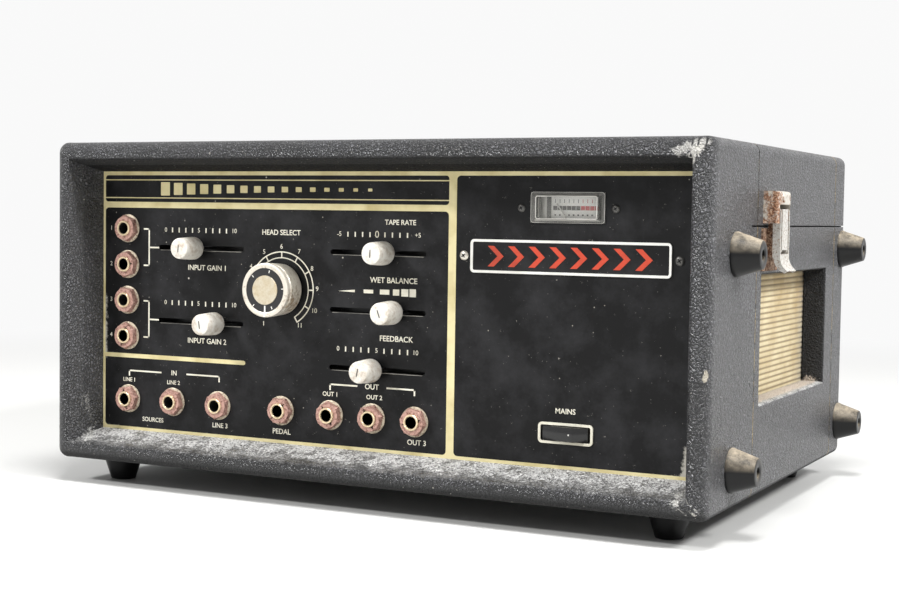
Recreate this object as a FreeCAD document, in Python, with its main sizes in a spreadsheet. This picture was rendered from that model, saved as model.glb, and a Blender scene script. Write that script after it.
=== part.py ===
import FreeCAD, Part
import math
import os
import re

import Sketcher

# Tape echo unit: a vinyl covered wooden case with a recessed control panel in front,
# a hinged lid over the tape deck at the rear, and the electronics on a chassis below.
# Case coordinates, millimetres: x from the centre, y back from the front face, z up from
# the underside of the case. The part's own frame has its origin on the floor, in the
# middle of the object, so every piece is shifted by front_y and foot_height.

DIMENSIONS = {
    # case
    "case_width": 400, "case_depth": 280, "case_height": 186, "wall": 13,
    "foot_height": 14, "front_y": -143,
    "front_round": 8, "rear_round": 10, "side_round": 5,
    "lip": 10.3, "reveal_depth": 25.2, "reveal_slope": 6.1, "panel_thick": 2,
    "seam_front": 77.7, "seam_rear": 247.7, "seam_width": 0.6, "seam_depth": 0.5,
    "split_level": 143, "saw_cut": 0.8, "saw_overrun": 10,
    "vent_front": 88.2, "vent_rear": 228.2, "vent_low": 49.1, "vent_high": 117.5,
    "cloth_thick": 1.6, "cloth_margin": 5,
    "batten_low": 122.5, "batten_wide": 10,
    "ledge_low": 138, "ledge_high": 149, "ledge_wide": 4, "ledge_gap": 0.4,
    "lip_soft": 2, "vent_soft": 1.5,
    # rubber feet
    "foot_wide_radius": 11.5, "foot_tip_radius": 7.25, "foot_bore_radius": 2.6,
    "foot_bore_depth": 9, "foot_inset_x": 28, "foot_inset_y": 30,
    "side_foot_front": 40.5, "side_foot_rear": 267.5, "side_foot_low": 21, "side_foot_high": 129,
    # sockets
    "washer_radius": 8.3, "washer_thick": 0.8, "nut_radius": 8.05, "nut_thick": 3.2,
    "bushing_radius": 4.5, "socket_radius": 3.25, "bushing_proud": 1,
    "mic_socket_x": -165.3, "mic_socket_top": 136.1, "mic_socket_pitch": 21.2,
    "line_socket_x": -164.3, "line_socket_pitch": 32.3, "low_row": 35,
    "pedal_socket_x": -56.7, "output_socket_x": -24.6, "output_socket_pitch": 26.6,
    # slide controls
    "slot_length": 60, "slot_height": 2.8, "slot_x_left": -113, "slot_x_right": 4.5,
    "slot_level_1": 125.4, "slot_level_2": 82.6, "slot_level_3": 93.5, "slot_level_4": 61.5,
    "knob_front": 6, "knob_length": 16.5, "knob_face_radius": 5.7, "knob_radius": 6.5,
    "rest_1": -1.3, "rest_2": 13.5, "rest_3": 6.5, "rest_4": 12, "rest_5": -0.6,
    "tang_wide": 3.6, "tang_thick": 1.2, "pot_length": 72, "pot_height": 10,
    # rotary selector
    "selector_x": -57.3, "selector_z": 103.6, "selector_radius": 15.1, "selector_front": 7.9,
    "selector_length": 16, "selector_recess": 12.4, "selector_cap_radius": 8.2,
    "shaft_radius": 3.175, "running_gap": 0.05,
    # level meter
    "meter_x": 115.9, "meter_z": 151.1, "meter_width": 40.7, "meter_height": 15.8,
    "meter_face_width": 34, "meter_face_height": 11.8, "meter_proud": 3,
    "needle_length": 13, "needle_level": 142.5,
    # name window and mains switch
    "badge_x": 116.6, "badge_z": 125.3, "badge_width": 111, "badge_height": 17.6,
    "badge_screw_gap": 59.6, "meter_screw_gap": 26,
    "switch_x": 116.8, "switch_z": 34.9, "switch_width": 30.4, "switch_height": 10.9,
    "bezel_line": 1.4, "rocker_pivot": 29.2,
    # draw latches
    "latch_y": 99, "latch_pivot_out": 6.7, "latch_pivot_z": 150.4, "claw_pivot_z": 131,
    "latch_sheet": 1.2, "latch_face": 8.8,
    # carrying handle
    "handle_y": 142, "handle_reach": 34, "handle_pivot_out": 8, "handle_pivot_z": 106,
    "handle_length": 132, "handle_radius": 6,
    # lid hinges
    "hinge_x": 130, "hinge_out": 3.2, "knuckle_radius": 2.8, "hinge_pin_radius": 1.5,
    "hinge_length": 40, "leaf_thick": 1.5,
    # tape deck
    "deck_level": 128, "deck_thick": 2, "capstan_x": 60, "capstan_y": 200, "capstan_radius": 3,
    "flywheel_radius": 35, "flywheel_low": 132, "flywheel_thick": 8,
    "motor_x": 135, "motor_y": 225, "pulley_radius": 6, "motor_radius": 22, "motor_length": 42,
    "belt_thick": 1.2, "belt_gap": 0.3,
    "tape_low": 149, "tape_width": 6.35, "tape_thick": 0.3, "tape_line": 196.5,
    "tape_front": 104, "tape_half": 146, "tape_bend": 8.4,
    "roller_radius": 12, "spindle_radius": 2, "arm_x": 108, "arm_y": 172,
    # mains side
    "inlet_x": -120, "inlet_z": 60, "fuse_x": -78,
}

DOC = FreeCAD.newDocument("tape_echo")
SHEET = DOC.addObject("Spreadsheet::Sheet", "dims")
for row, (alias, number) in enumerate(DIMENSIONS.items(), start=1):
    SHEET.set(f"A{row}", alias)
    SHEET.set(f"B{row}", str(number))
    SHEET.setAlias(f"B{row}", alias)
DOC.recompute()

PIECES = []
TURN = {
    "x": FreeCAD.Rotation(FreeCAD.Vector(0, 1, 0), 90),
    "y": FreeCAD.Rotation(FreeCAD.Vector(1, 0, 0), -90),
    "z": FreeCAD.Rotation(),
}
SHIFT = {"x": "", "y": "front_y + ", "z": "foot_height + "}


def size(alias):
    """The number that the sheet holds for an alias."""
    return SHEET.get(alias)


def formula(text):
    """The text with the sheet's name put before each alias."""
    return re.sub(r"[a-z]\w*", lambda word: "dims." + word.group(0), text)


def place(item, point):
    """Bind an object's position to three formulas in case coordinates."""
    for axis, text in zip("xyz", point):
        item.setExpression(f"Placement.Base.{axis}", formula(SHIFT[axis] + text))


def order(axis, along, across):
    """Three formulas in x, y, z order, from one along an axis and two across it."""
    point = list(across)
    point.insert("xyz".index(axis), along)
    return point


def block(name, x, y, z):
    """A box between two formulas along each axis."""
    box = DOC.addObject("Part::Box", name)
    for side, (low, high) in zip(("Length", "Width", "Height"), (x, y, z)):
        box.setExpression(side, formula(f"({high}) - ({low})"))
    place(box, (x[0], y[0], z[0]))
    return box


def rod(name, radius, axis, span, across):
    """A cylinder along an axis, between two formulas."""
    cylinder = DOC.addObject("Part::Cylinder", name)
    cylinder.Placement.Rotation = TURN[axis]
    cylinder.setExpression("Radius", formula(radius))
    cylinder.setExpression("Height", formula(f"({span[1]}) - ({span[0]})"))
    place(cylinder, order(axis, span[0], across))
    return cylinder


def taper(name, radii, axis, span, across):
    """A cone along an axis, with its radius at the low and at the high end."""
    cone = DOC.addObject("Part::Cone", name)
    cone.Placement.Rotation = TURN[axis]
    cone.setExpression("Radius1", formula(radii[0]))
    cone.setExpression("Radius2", formula(radii[1]))
    cone.setExpression("Height", formula(f"({span[1]}) - ({span[0]})"))
    place(cone, order(axis, span[0], across))
    return cone


def hexagon(name, radius, axis, span, across):
    """A hexagonal prism along an axis."""
    prism = DOC.addObject("Part::Prism", name)
    prism.Polygon = 6
    prism.Placement.Rotation = TURN[axis]
    prism.setExpression("Circumradius", formula(radius))
    prism.setExpression("Height", formula(f"({span[1]}) - ({span[0]})"))
    place(prism, order(axis, span[0], across))
    return prism


def fused(name, solids):
    """Several overlapping solids as one."""
    joined = DOC.addObject("Part::MultiFuse", name)
    joined.Shapes = solids
    return joined


def grouped(name, solids):
    """Several separate solids in one node."""
    compound = DOC.addObject("Part::Compound", name)
    compound.Links = solids
    return compound


def cut(name, base, tools):
    """A solid with other solids taken away."""
    result = DOC.addObject("Part::Cut", name)
    result.Base = base
    result.Tool = tools[0] if len(tools) == 1 else grouped(name + "_tools", tools)
    return result


def common(name, base, tool):
    """What two solids share."""
    result = DOC.addObject("Part::Common", name)
    result.Base = base
    result.Tool = tool
    return result


def rounded(name, base, radius_of):
    """A solid with a fillet on each edge that radius_of gives a radius for."""
    DOC.recompute()
    fillet = DOC.addObject("Part::Fillet", name)
    fillet.Base = base
    edges = []
    for number, edge in enumerate(base.Shape.Edges, start=1):
        radius = radius_of(edge)
        if radius:
            edges.append((number, radius, radius))
    fillet.Edges = edges
    return fillet


def edges_along(axis, radius):
    """A rule for rounded: the straight edges along one axis."""
    direction = FreeCAD.Vector(*(1 if letter == axis else 0 for letter in "xyz"))

    def rule(edge):
        run = edge.Vertexes[-1].Point - edge.Vertexes[0].Point
        parallel = run.Length > 0 and abs(abs(run.normalize().dot(direction)) - 1) < 1e-6
        return radius if parallel else 0

    return rule


def turned(name, profile, axis, start, across):
    """A lathe-turned body: radius and height formulas, with the height along an axis."""
    body = DOC.addObject("PartDesign::Body", name)
    sketch = body.newObject("Sketcher::SketchObject", name + "_profile")
    plane = next(item for item in body.Origin.OriginFeatures if item.Role == "XZ_Plane")
    sketch.AttachmentSupport = [(plane, "")]
    sketch.MapMode = "FlatFace"
    holder = DOC.addObject("App::FeaturePython", name + "_values")
    points = []
    for number, (radius, height) in enumerate(profile):
        holder.addProperty("App::PropertyFloat", f"radius_{number}")
        holder.addProperty("App::PropertyFloat", f"height_{number}")
        holder.setExpression(f"radius_{number}", formula(radius))
        holder.setExpression(f"height_{number}", formula(height))
    holder.recompute()
    for number in range(len(profile)):
        radius = getattr(holder, f"radius_{number}")
        height = getattr(holder, f"height_{number}")
        points.append(FreeCAD.Vector(radius, height, 0))
    count = len(points)
    for number in range(count):
        sketch.addGeometry(Part.LineSegment(points[number], points[(number + 1) % count]))
    for number in range(count):
        sketch.addConstraint(
            Sketcher.Constraint("Coincident", number, 2, (number + 1) % count, 1))
    for number, ((radius, height), point) in enumerate(zip(profile, points)):
        for kind, text, amount, line in (
                ("DistanceX", radius, point.x, -2), ("DistanceY", height, point.y, -1)):
            if abs(amount) < 1e-9:
                sketch.addConstraint(Sketcher.Constraint("PointOnObject", number, 1, line))
                continue
            index = sketch.addConstraint(
                Sketcher.Constraint(kind, -1, 1, number, 1, amount))
            sketch.setExpression(f"Constraints[{index}]", formula(text))
    revolution = body.newObject("PartDesign::Revolution", name + "_turn")
    revolution.Profile = sketch
    revolution.ReferenceAxis = (sketch, ["V_Axis"])
    revolution.Angle = 360
    body.Placement.Rotation = TURN[axis]
    place(body, order(axis, start, across))
    return body


def piece(item, label=None):
    """Mark an object as a sub-part of its own, which is written under its label."""
    item.Label = label or item.Name
    PIECES.append(item)
    return item


def outward(side, low, high):
    """An x span outside the right (1) or left (-1) face of the case."""
    if side > 0:
        return (f"case_width / 2 + {low}", f"case_width / 2 + {high}")
    return (f"-case_width / 2 - {high}", f"-case_width / 2 - {low}")


def case_blocks():
    """The rounded outside of the case, its inside, and the region of the lid."""
    half = "case_width / 2"
    box = block("case_outside", ("-" + half, half), ("0", "case_depth"), ("0", "case_height"))
    front = size("front_y")
    rear = front + size("case_depth")

    def radius_of(edge):
        middle = edge.CenterOfMass
        if abs(middle.y - front) < 0.01:
            return size("front_round")
        if abs(middle.y - rear) < 0.01:
            return size("rear_round")
        return size("side_round")

    outside = rounded("case_rounded", box, radius_of)
    inner_x = ("-case_width / 2 + wall", "case_width / 2 - wall")
    start = "(wall - lip) * reveal_depth / reveal_slope"
    inside = block("case_inside", inner_x, (start, "case_depth - wall"),
                   ("wall", "case_height - wall"))
    return outside, inside


def reveal_funnel():
    """The sloping opening in front of the panel."""
    funnel = DOC.addObject("Part::Wedge", "reveal_funnel")
    wide = "case_width / 2 - lip + 0.1 * reveal_slope"
    narrow = "case_width / 2 - lip - reveal_slope"
    low = "lip - 0.1 * reveal_slope"
    high = "case_height - lip + 0.1 * reveal_slope"
    values = {
        "Xmin": "-" + f"({wide})", "Xmax": wide, "Zmin": low, "Zmax": high,
        "X2min": "-" + f"({narrow})", "X2max": narrow,
        "Z2min": "lip + reveal_slope", "Z2max": "case_height - lip - reveal_slope",
        "Ymin": "-0.1 * reveal_depth", "Ymax": "reveal_depth",
    }
    for name, text in values.items():
        funnel.setExpression(name, formula(text))
    place(funnel, ("0", "0", "0"))
    return funnel


def seam_ring(name, position):
    """A shallow groove round the case where two strips of vinyl meet."""
    span = (f"{position} - seam_width / 2", f"{position} + seam_width / 2")
    outer = block(name + "_outer", ("-case_width / 2 - 1", "case_width / 2 + 1"), span,
                  ("-1", "case_height + 1"))
    inner = block(name + "_inner", ("-case_width / 2 + seam_depth", "case_width / 2 - seam_depth"),
                  (f"{position} - seam_width", f"{position} + seam_width"),
                  ("seam_depth", "case_height - seam_depth"))
    return cut(name, outer, [inner])


def lip_edges(edge):
    """A rule for rounded: the inner edge of the case's front lip."""
    middle = edge.CenterOfMass
    across = abs(middle.x) < size("case_width") / 2 - size("front_round")
    up = abs(middle.z - size("foot_height") - size("case_height") / 2)
    within = across and up < size("case_height") / 2 - size("front_round")
    return size("lip_soft") if within and abs(middle.y - size("front_y")) < 0.01 else 0


def vent_edges(edge):
    """A rule for rounded: the outer edge of the vent."""
    middle = edge.CenterOfMass
    low = size("front_y") + size("vent_front") - 1
    high = size("front_y") + size("vent_rear") + 1
    outside = abs(middle.x - size("case_width") / 2) < 0.01
    level = middle.z - size("foot_height")
    within = low < middle.y < high and size("vent_low") - 1 < level < size("vent_high") + 1
    return size("vent_soft") if outside and within else 0


def ledge_ring(name, gap, high):
    """A strip round three inner sides of the case, a gap in from its walls."""
    side = f"case_width / 2 - wall - {gap}"
    rear = f"case_depth - wall - {gap}"
    outer = block(name + "_outer", (f"-({side})", side), ("seam_front + 1", rear),
                  ("ledge_low", high))
    side = "case_width / 2 - wall - ledge_gap - ledge_wide"
    rear = "case_depth - wall - ledge_gap - ledge_wide"
    inner = block(name + "_inner", (f"-({side})", side), ("seam_front", rear),
                  ("ledge_low - 1", "ledge_high + 1"))
    return cut(name, outer, [inner])


def lid_ledge():
    """The wooden ledge that closes the gap under the lid from inside."""
    return fused("lid_ledge", [ledge_ring("ledge_foot", "(-0.5)", "split_level - 1"),
                               ledge_ring("ledge_top", "ledge_gap", "ledge_high")])


def make_case():
    """Wooden case, lid, and the sloping moulding in front of the panel."""
    outside, inside = case_blocks()
    funnel = reveal_funnel()
    half = "case_width / 2"
    lid_space = block("lid_space", (f"-{half} - 5", f"{half} + 5"),
                      ("seam_front", "case_depth + 5"),
                      ("split_level - saw_cut / 2", "case_height + 5"))
    overrun = block("saw_overrun_slot", (f"-{half} - 5", f"{half} + 5"),
                    ("seam_front - saw_overrun", "seam_front + 1"),
                    ("split_level - saw_cut / 2", "split_level + saw_cut / 2"))
    vent = block("vent_hole", (f"{half} - wall - 1", f"{half} + 5"),
                 ("vent_front", "vent_rear"), ("vent_low", "vent_high"))
    inlet_hole = block("inlet_hole", ("inlet_x - 14", "inlet_x + 14"),
                       ("case_depth - wall - 1", "case_depth + 5"),
                       ("inlet_z - 10", "inlet_z + 10"))
    fuse_hole = rod("fuse_hole", "6.2", "y", ("case_depth - wall - 1", "case_depth + 5"),
                    ("fuse_x", "inlet_z"))
    front_seam = seam_ring("front_seam", "seam_front")
    rear_seam = seam_ring("rear_seam", "seam_rear")
    hollow = cut("case_hollow", outside, [inside])
    opened = rounded("case_lip_softened", cut("case_opened", hollow, [funnel]), lip_edges)
    sawn = cut("case_sawn", opened, [lid_space])
    vented = rounded("vent_softened", cut("case_vented", sawn, [vent]), vent_edges)
    holed = cut("case_holed", vented, [overrun, inlet_hole, fuse_hole])
    grooved = cut("case_grooved", holed, [front_seam, rear_seam])
    battens = []
    for side, name in ((1, "right_batten"), (-1, "left_batten")):
        edges = sorted((f"{side} * (case_width / 2 - wall + 0.5)",
                        f"{side} * (case_width / 2 - wall - batten_wide)"),
                       reverse=side > 0)
        battens.append(block(name, edges, ("seam_front + 2", "case_depth - wall"),
                             ("batten_low", "deck_level")))
    piece(fused("cabinet_shell", [grooved] + battens + [lid_ledge()]))
    lid_region = block("lid_region", (f"-{half} - 5", f"{half} + 5"),
                       ("seam_front + seam_width", "case_depth + 5"),
                       ("split_level + saw_cut / 2", "case_height + 5"))
    lid_solid = common("lid_solid", hollow, lid_region)
    piece(cut("lid", lid_solid, [rear_seam]))
    ring = block("frame_blank", ("-case_width / 2 + wall", "case_width / 2 - wall"),
                 ("(wall - lip) * reveal_depth / reveal_slope", "reveal_depth"),
                 ("wall", "case_height - wall"))
    piece(cut("front_frame", ring, [funnel]))
    cloth = block("grille_cloth", ("case_width / 2 - wall - cloth_thick", "case_width / 2 - wall"),
                  ("vent_front - cloth_margin", "vent_rear + cloth_margin"),
                  ("vent_low - cloth_margin", "vent_high + 4"))
    piece(cloth)


def foot(name, axis, span, across):
    """A tapered rubber foot with a screw hole. The span runs from the case to the tip."""
    root, tip, sign = span
    if sign > 0:
        body = taper(name + "_cone", ("foot_wide_radius", "foot_tip_radius"), axis,
                     (root, tip), across)
        bore = rod(name + "_bore", "foot_bore_radius", axis,
                   (f"{tip} - foot_bore_depth", f"{tip} + 1"), across)
        shank = rod(name + "_screw", "1.75", axis,
                    (f"{root} - 9", f"{tip} - foot_bore_depth"), across)
        head = rod(name + "_screw_head", "foot_bore_radius - 0.1", axis,
                   (f"{tip} - foot_bore_depth", f"{tip} - foot_bore_depth + 2"), across)
    else:
        body = taper(name + "_cone", ("foot_tip_radius", "foot_wide_radius"), axis,
                     (tip, root), across)
        bore = rod(name + "_bore", "foot_bore_radius", axis,
                   (f"{tip} - 1", f"{tip} + foot_bore_depth"), across)
        shank = rod(name + "_screw", "1.75", axis,
                    (f"{tip} + foot_bore_depth", f"{root} + 9"), across)
        head = rod(name + "_screw_head", "foot_bore_radius - 0.1", axis,
                   (f"{tip} + foot_bore_depth - 2", f"{tip} + foot_bore_depth"), across)
    hole = rod(name + "_hole", "1.75", axis, (shank_span(root, tip, sign)), across)
    return cut(name + "_rubber", body, [fused(name + "_way", [bore, hole])]), \
        fused(name + "_fixing", [shank, head])


def shank_span(root, tip, sign):
    """The stretch of a foot that the screw's shank passes through."""
    if sign > 0:
        return (f"{root} - 1", f"{tip} - foot_bore_depth + 0.5")
    return (f"{tip} + foot_bore_depth - 0.5", f"{root} + 1")


def make_feet():
    """Four feet under the case, four on its right side, and their screws."""
    under, beside, screws = [], [], []
    for x_name, x in (("left", "-case_width / 2 + foot_inset_x"),
                      ("right", "case_width / 2 - foot_inset_x")):
        for y_name, y in (("front", "foot_inset_y"), ("rear", "case_depth - foot_inset_y")):
            rubber, screw = foot(f"foot_{x_name}_{y_name}", "z", ("0", "-foot_height", -1), (x, y))
            under.append(rubber)
            screws.append(screw)
    for y in ("side_foot_front", "side_foot_rear"):
        for z in ("side_foot_low", "side_foot_high"):
            rubber, screw = foot(f"{y}_{z[-4:].strip('_')}", "x",
                                 ("case_width / 2", "case_width / 2 + foot_height", 1), (y, z))
            beside.append(rubber)
            screws.append(screw)
    piece(grouped("bottom_feet", under))
    piece(grouped("side_feet", beside))
    piece(grouped("foot_screws", screws))


def socket_places():
    """The x and z formulas of the eleven sockets."""
    places = [("mic_socket_x", f"mic_socket_top - {number} * mic_socket_pitch")
              for number in range(4)]
    places += [(f"line_socket_x + {number} * line_socket_pitch", "low_row")
               for number in range(3)]
    places.append(("pedal_socket_x", "low_row"))
    places += [(f"output_socket_x + {number} * output_socket_pitch", "low_row - 0.3")
               for number in range(3)]
    return places


def make_sockets():
    """Threaded bushings, hexagon nuts, washers and the contact bodies behind the panel."""
    bushings, nuts, washers, bodies = [], [], [], []
    nut_front = "reveal_depth - washer_thick - nut_thick"
    back = "reveal_depth + panel_thick"
    for number, across in enumerate(socket_places(), start=1):
        thread = rod(f"bushing_{number}", "bushing_radius", "y",
                     (f"{nut_front} - bushing_proud", f"{back} + 2"), across)
        flange = rod(f"bushing_flange_{number}", "bushing_radius + 2", "y",
                     (back, f"{back} + 2"), across)
        bore = rod(f"socket_bore_{number}", "socket_radius", "y",
                   (f"{nut_front} - 3", f"{back} + 3"), across)
        bushings.append(cut(f"socket_{number}", fused(f"bushing_body_{number}", [thread, flange]),
                            [bore]))
        nut = hexagon(f"nut_blank_{number}", "nut_radius", "y",
                      (nut_front, "reveal_depth - washer_thick"), across)
        nuts.append(cut(f"nut_{number}", nut, [rod(
            f"nut_hole_{number}", "bushing_radius", "y", (f"{nut_front} - 1", back), across)]))
        washer = rod(f"washer_blank_{number}", "washer_radius", "y",
                     ("reveal_depth - washer_thick", "reveal_depth"), across)
        washers.append(cut(f"washer_{number}", washer, [rod(
            f"washer_hole_{number}", "bushing_radius", "y", (f"{nut_front} - 1", back), across)]))
        case = block(f"contact_case_{number}", (f"{across[0]} - 8", f"{across[0]} + 8"),
                     (f"{back} + 2", f"{back} + 26"), (f"{across[1]} - 8", f"{across[1]} + 8"))
        room = block(f"contact_room_{number}", (f"{across[0]} - 4.5", f"{across[0]} + 4.5"),
                     (back, f"{back} + 24"), (f"{across[1]} - 4.5", f"{across[1]} + 4.5"))
        bodies.append(cut(f"contact_{number}", case, [room]))
    piece(grouped("jack_bushings", bushings))
    piece(grouped("jack_nuts", nuts))
    piece(grouped("jack_washers", washers))
    piece(grouped("jack_bodies", bodies))


SLIDERS = (
    ("slot_x_left", "slot_level_1", "rest_1"),
    ("slot_x_left", "slot_level_2", "rest_2"),
    ("slot_x_right", "slot_level_1", "rest_3"),
    ("slot_x_right", "slot_level_3", "rest_4"),
    ("slot_x_right", "slot_level_4", "rest_5"),
)


def slot_tool(name, x, z, y):
    """A slot with round ends, to be cut from a plate."""
    radius = "slot_height / 2"
    reach = "slot_length / 2 - slot_height / 2"
    middle = block(name + "_middle", (f"{x} - ({reach})", f"{x} + {reach}"), y,
                   (f"{z} - {radius}", f"{z} + {radius}"))
    ends = [rod(f"{name}_end_{number}", radius, "y", y, (f"{x} {sign} ({reach})", z))
            for number, sign in enumerate("-+")]
    return fused(name, [middle] + ends)


def make_sliders():
    """Five slide controls: each knob with its tang, and the pot bodies behind."""
    pots = []
    for number, (x, z, rest) in enumerate(SLIDERS, start=1):
        at = f"{x} + {rest}"
        front = "knob_front"
        knob = turned(f"knob_body_{number}", [
            ("0", "0"), ("knob_face_radius - 0.8", "0"), ("knob_face_radius", "0.8"),
            ("knob_radius - 0.2", "knob_length * 0.45"), ("knob_radius", "knob_length * 0.75"),
            ("knob_radius - 0.5", "knob_length - 1"), ("knob_radius - 1.6", "knob_length"),
            ("0", "knob_length")], "y", front, (at, z))
        tang = block(f"tang_{number}", (f"{at} - tang_wide / 2", f"{at} + tang_wide / 2"),
                     (f"{front} + knob_length - 2", "reveal_depth + 10"),
                     (f"{z} - tang_thick / 2", f"{z} + tang_thick / 2"))
        piece(fused(f"slider_knob_{number}", [knob, tang]))
        pot = block(f"pot_blank_{number}", (f"{x} - pot_length / 2", f"{x} + pot_length / 2"),
                    ("reveal_depth + panel_thick", "reveal_depth + 16"),
                    (f"{z} - pot_height / 2", f"{z} + pot_height / 2"))
        pots.append(cut(f"pot_{number}", pot, [slot_tool(
            f"pot_slot_{number}", x, z, ("reveal_depth", "reveal_depth + 12"))]))
    piece(grouped("slider_pot_bodies", pots))


def make_panel():
    """The front plate, a padded sketch with holes for every control."""
    body = DOC.addObject("PartDesign::Body", "panel_blank")
    sketch = body.newObject("Sketcher::SketchObject", "panel_outline")
    plane = next(item for item in body.Origin.OriginFeatures if item.Role == "XZ_Plane")
    sketch.AttachmentSupport = [(plane, "")]
    sketch.MapMode = "FlatFace"
    half = size("case_width") / 2 - size("wall") - 0.2
    low = size("wall") + 0.2
    high = size("case_height") - size("wall") - 0.2
    corners = [FreeCAD.Vector(x, z, 0) for x, z in
               ((-half, low), (half, low), (half, high), (-half, high))]
    for number in range(4):
        sketch.addGeometry(Part.LineSegment(corners[number], corners[(number + 1) % 4]))
        sketch.addConstraint(Sketcher.Constraint("Horizontal" if number % 2 == 0 else "Vertical",
                                                 number))
    for number in range(4):
        sketch.addConstraint(Sketcher.Constraint("Coincident", number, 2, (number + 1) % 4, 1))
    for kind, vertex, text, amount in (
            ("DistanceX", 0, "-case_width / 2 + wall + 0.2", -half),
            ("DistanceY", 0, "wall + 0.2", low),
            ("DistanceX", 2, "case_width / 2 - wall - 0.2", half),
            ("DistanceY", 2, "case_height - wall - 0.2", high)):
        index = sketch.addConstraint(Sketcher.Constraint(kind, -1, 1, vertex, 1, amount))
        sketch.setExpression(f"Constraints[{index}]", formula(text))
    pad = body.newObject("PartDesign::Pad", "panel_sheet")
    pad.Profile = sketch
    pad.setExpression("Length", formula("panel_thick"))
    pad.Reversed = True
    place(body, ("0", "reveal_depth", "0"))
    through = ("reveal_depth - 1", "reveal_depth + panel_thick + 1")
    holes = [rod(f"socket_hole_{number}", "bushing_radius + 0.1", "y", through, across)
             for number, across in enumerate(socket_places(), start=1)]
    holes += [slot_tool(f"slot_{number}", x, z, through)
              for number, (x, z, rest) in enumerate(SLIDERS, start=1)]
    holes.append(rod("selector_hole", "5", "y", through, ("selector_x", "selector_z")))
    holes.append(block("meter_hole", ("meter_x - 16.4", "meter_x + 16.4"), through,
                       ("meter_z - 5.5", "meter_z + 5.5")))
    holes.append(block("badge_hole", ("badge_x - 50", "badge_x + 50"), through,
                       ("badge_z - 5", "badge_z + 5")))
    holes.append(block("switch_hole", ("switch_x - switch_width / 2 + bezel_line",
                                       "switch_x + switch_width / 2 - bezel_line"), through,
                       ("switch_z - switch_height / 2 + bezel_line",
                        "switch_z + switch_height / 2 - bezel_line")))
    piece(cut("front_panel", body, holes))


def make_selector():
    """Rotary selector: turned knob, its inset cap, the shaft and the switch body."""
    across = ("selector_x", "selector_z")
    radius = "selector_radius"
    knob = turned("selector_turning", [
        ("0", "1"), ("selector_recess", "1"), ("selector_recess", "0.3"),
        (f"{radius} - 1.6", "0"), (f"{radius} - 0.6", "0.8"), (f"{radius} - 0.3", "3"),
        (f"{radius} - 0.8", "3.3"), (f"{radius} - 0.3", "3.6"),
        (radius, "selector_length - 1"), (f"{radius} - 0.7", "selector_length"),
        ("0", "selector_length")], "y", "selector_front", across)
    bore = rod("selector_bore", "shaft_radius", "y",
               ("selector_front + 4", "selector_front + selector_length + 1"), across)
    piece(cut("selector_knob", knob, [bore]))
    cap = turned("selector_cap", [
        ("0", "0"), ("selector_cap_radius - 0.5", "0"), ("selector_cap_radius", "0.3"),
        ("selector_cap_radius", "0.5"), ("selector_recess - 0.1", "0.5"),
        ("selector_recess - 0.1", "0.9"), ("0", "0.9")], "y", "selector_front + 0.1", across)
    piece(cap)
    piece(rod("selector_shaft", "shaft_radius", "y",
              ("selector_front + 4", "reveal_depth + 24"), across))
    back = "reveal_depth + panel_thick"
    neck = rod("switch_neck", "4.8", "y", ("reveal_depth - 0.3", f"{back} + 2"), across)
    wafer = rod("switch_wafer", "16", "y", (back, f"{back} + 26"), across)
    way = rod("switch_way", "shaft_radius + running_gap", "y",
              ("reveal_depth - 1", "reveal_depth + 24.5"), across)
    piece(cut("selector_switch_body", fused("switch_solid", [neck, wafer]), [way]))


def make_meter():
    """Level meter: clear cover, case with a window recess, and a pivoted needle."""
    flange = block("cover_flange", ("meter_x - meter_width / 2", "meter_x + meter_width / 2"),
                   ("reveal_depth - 1", "reveal_depth"),
                   ("meter_z - meter_height / 2", "meter_z + meter_height / 2"))
    dome = DOC.addObject("Part::Wedge", "cover_dome")
    for name, text in {
            "Xmin": "-meter_face_width / 2", "Xmax": "meter_face_width / 2",
            "Zmin": "-meter_face_height / 2", "Zmax": "meter_face_height / 2",
            "X2min": "-meter_face_width / 2 - 1.2", "X2max": "meter_face_width / 2 + 1.2",
            "Z2min": "-meter_face_height / 2 - 1.2", "Z2max": "meter_face_height / 2 + 1.2",
            "Ymin": "0", "Ymax": "meter_proud - 0.5"}.items():
        dome.setExpression(name, formula(text))
    place(dome, ("meter_x", "reveal_depth - meter_proud", "meter_z"))
    hollow = block("cover_hollow", ("meter_x - 16.1", "meter_x + 16.1"),
                   ("reveal_depth - meter_proud + 1", "reveal_depth + 1"),
                   ("meter_z - 5", "meter_z + 5"))
    piece(cut("meter_cover", fused("cover_solid", [flange, dome]), [hollow]))
    back = "reveal_depth + panel_thick"
    body = block("meter_case", ("meter_x - 19", "meter_x + 19"), (back, f"{back} + 19"),
                 ("meter_z - 13", "meter_z + 8"))
    recess = block("meter_recess", ("meter_x - 17.5", "meter_x + 17.5"),
                   (f"{back} - 1", f"{back} + 2"), ("meter_z - 11.5", "meter_z + 6.5"))
    pivot_hole = rod("needle_hole", "0.8 + running_gap", "y", (back, f"{back} + 7"),
                     ("meter_x", "needle_level"))
    piece(cut("meter_body", body, [recess, pivot_hole]))
    blade = block("needle_blade", ("meter_x - 0.3", "meter_x + 0.3"),
                  (f"{back} + 0.7", f"{back} + 1.1"),
                  ("needle_level", "needle_level + needle_length"))
    blade_turned = DOC.addObject("Part::Feature", "needle_tilted")
    DOC.recompute()
    tilted = blade.Shape.copy()
    centre = FreeCAD.Vector(size("meter_x"), 0, size("foot_height") + size("needle_level"))
    tilted.rotate(centre, FreeCAD.Vector(0, 1, 0), -35)
    blade_turned.Shape = tilted
    hub = rod("needle_hub", "1.7", "y", (f"{back} + 0.5", f"{back} + 1.4"),
              ("meter_x", "needle_level"))
    pin = rod("needle_pin", "0.8", "y", (f"{back} + 1", f"{back} + 6.5"),
              ("meter_x", "needle_level"))
    piece(fused("meter_needle", [blade_turned, hub, pin]))


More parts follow.
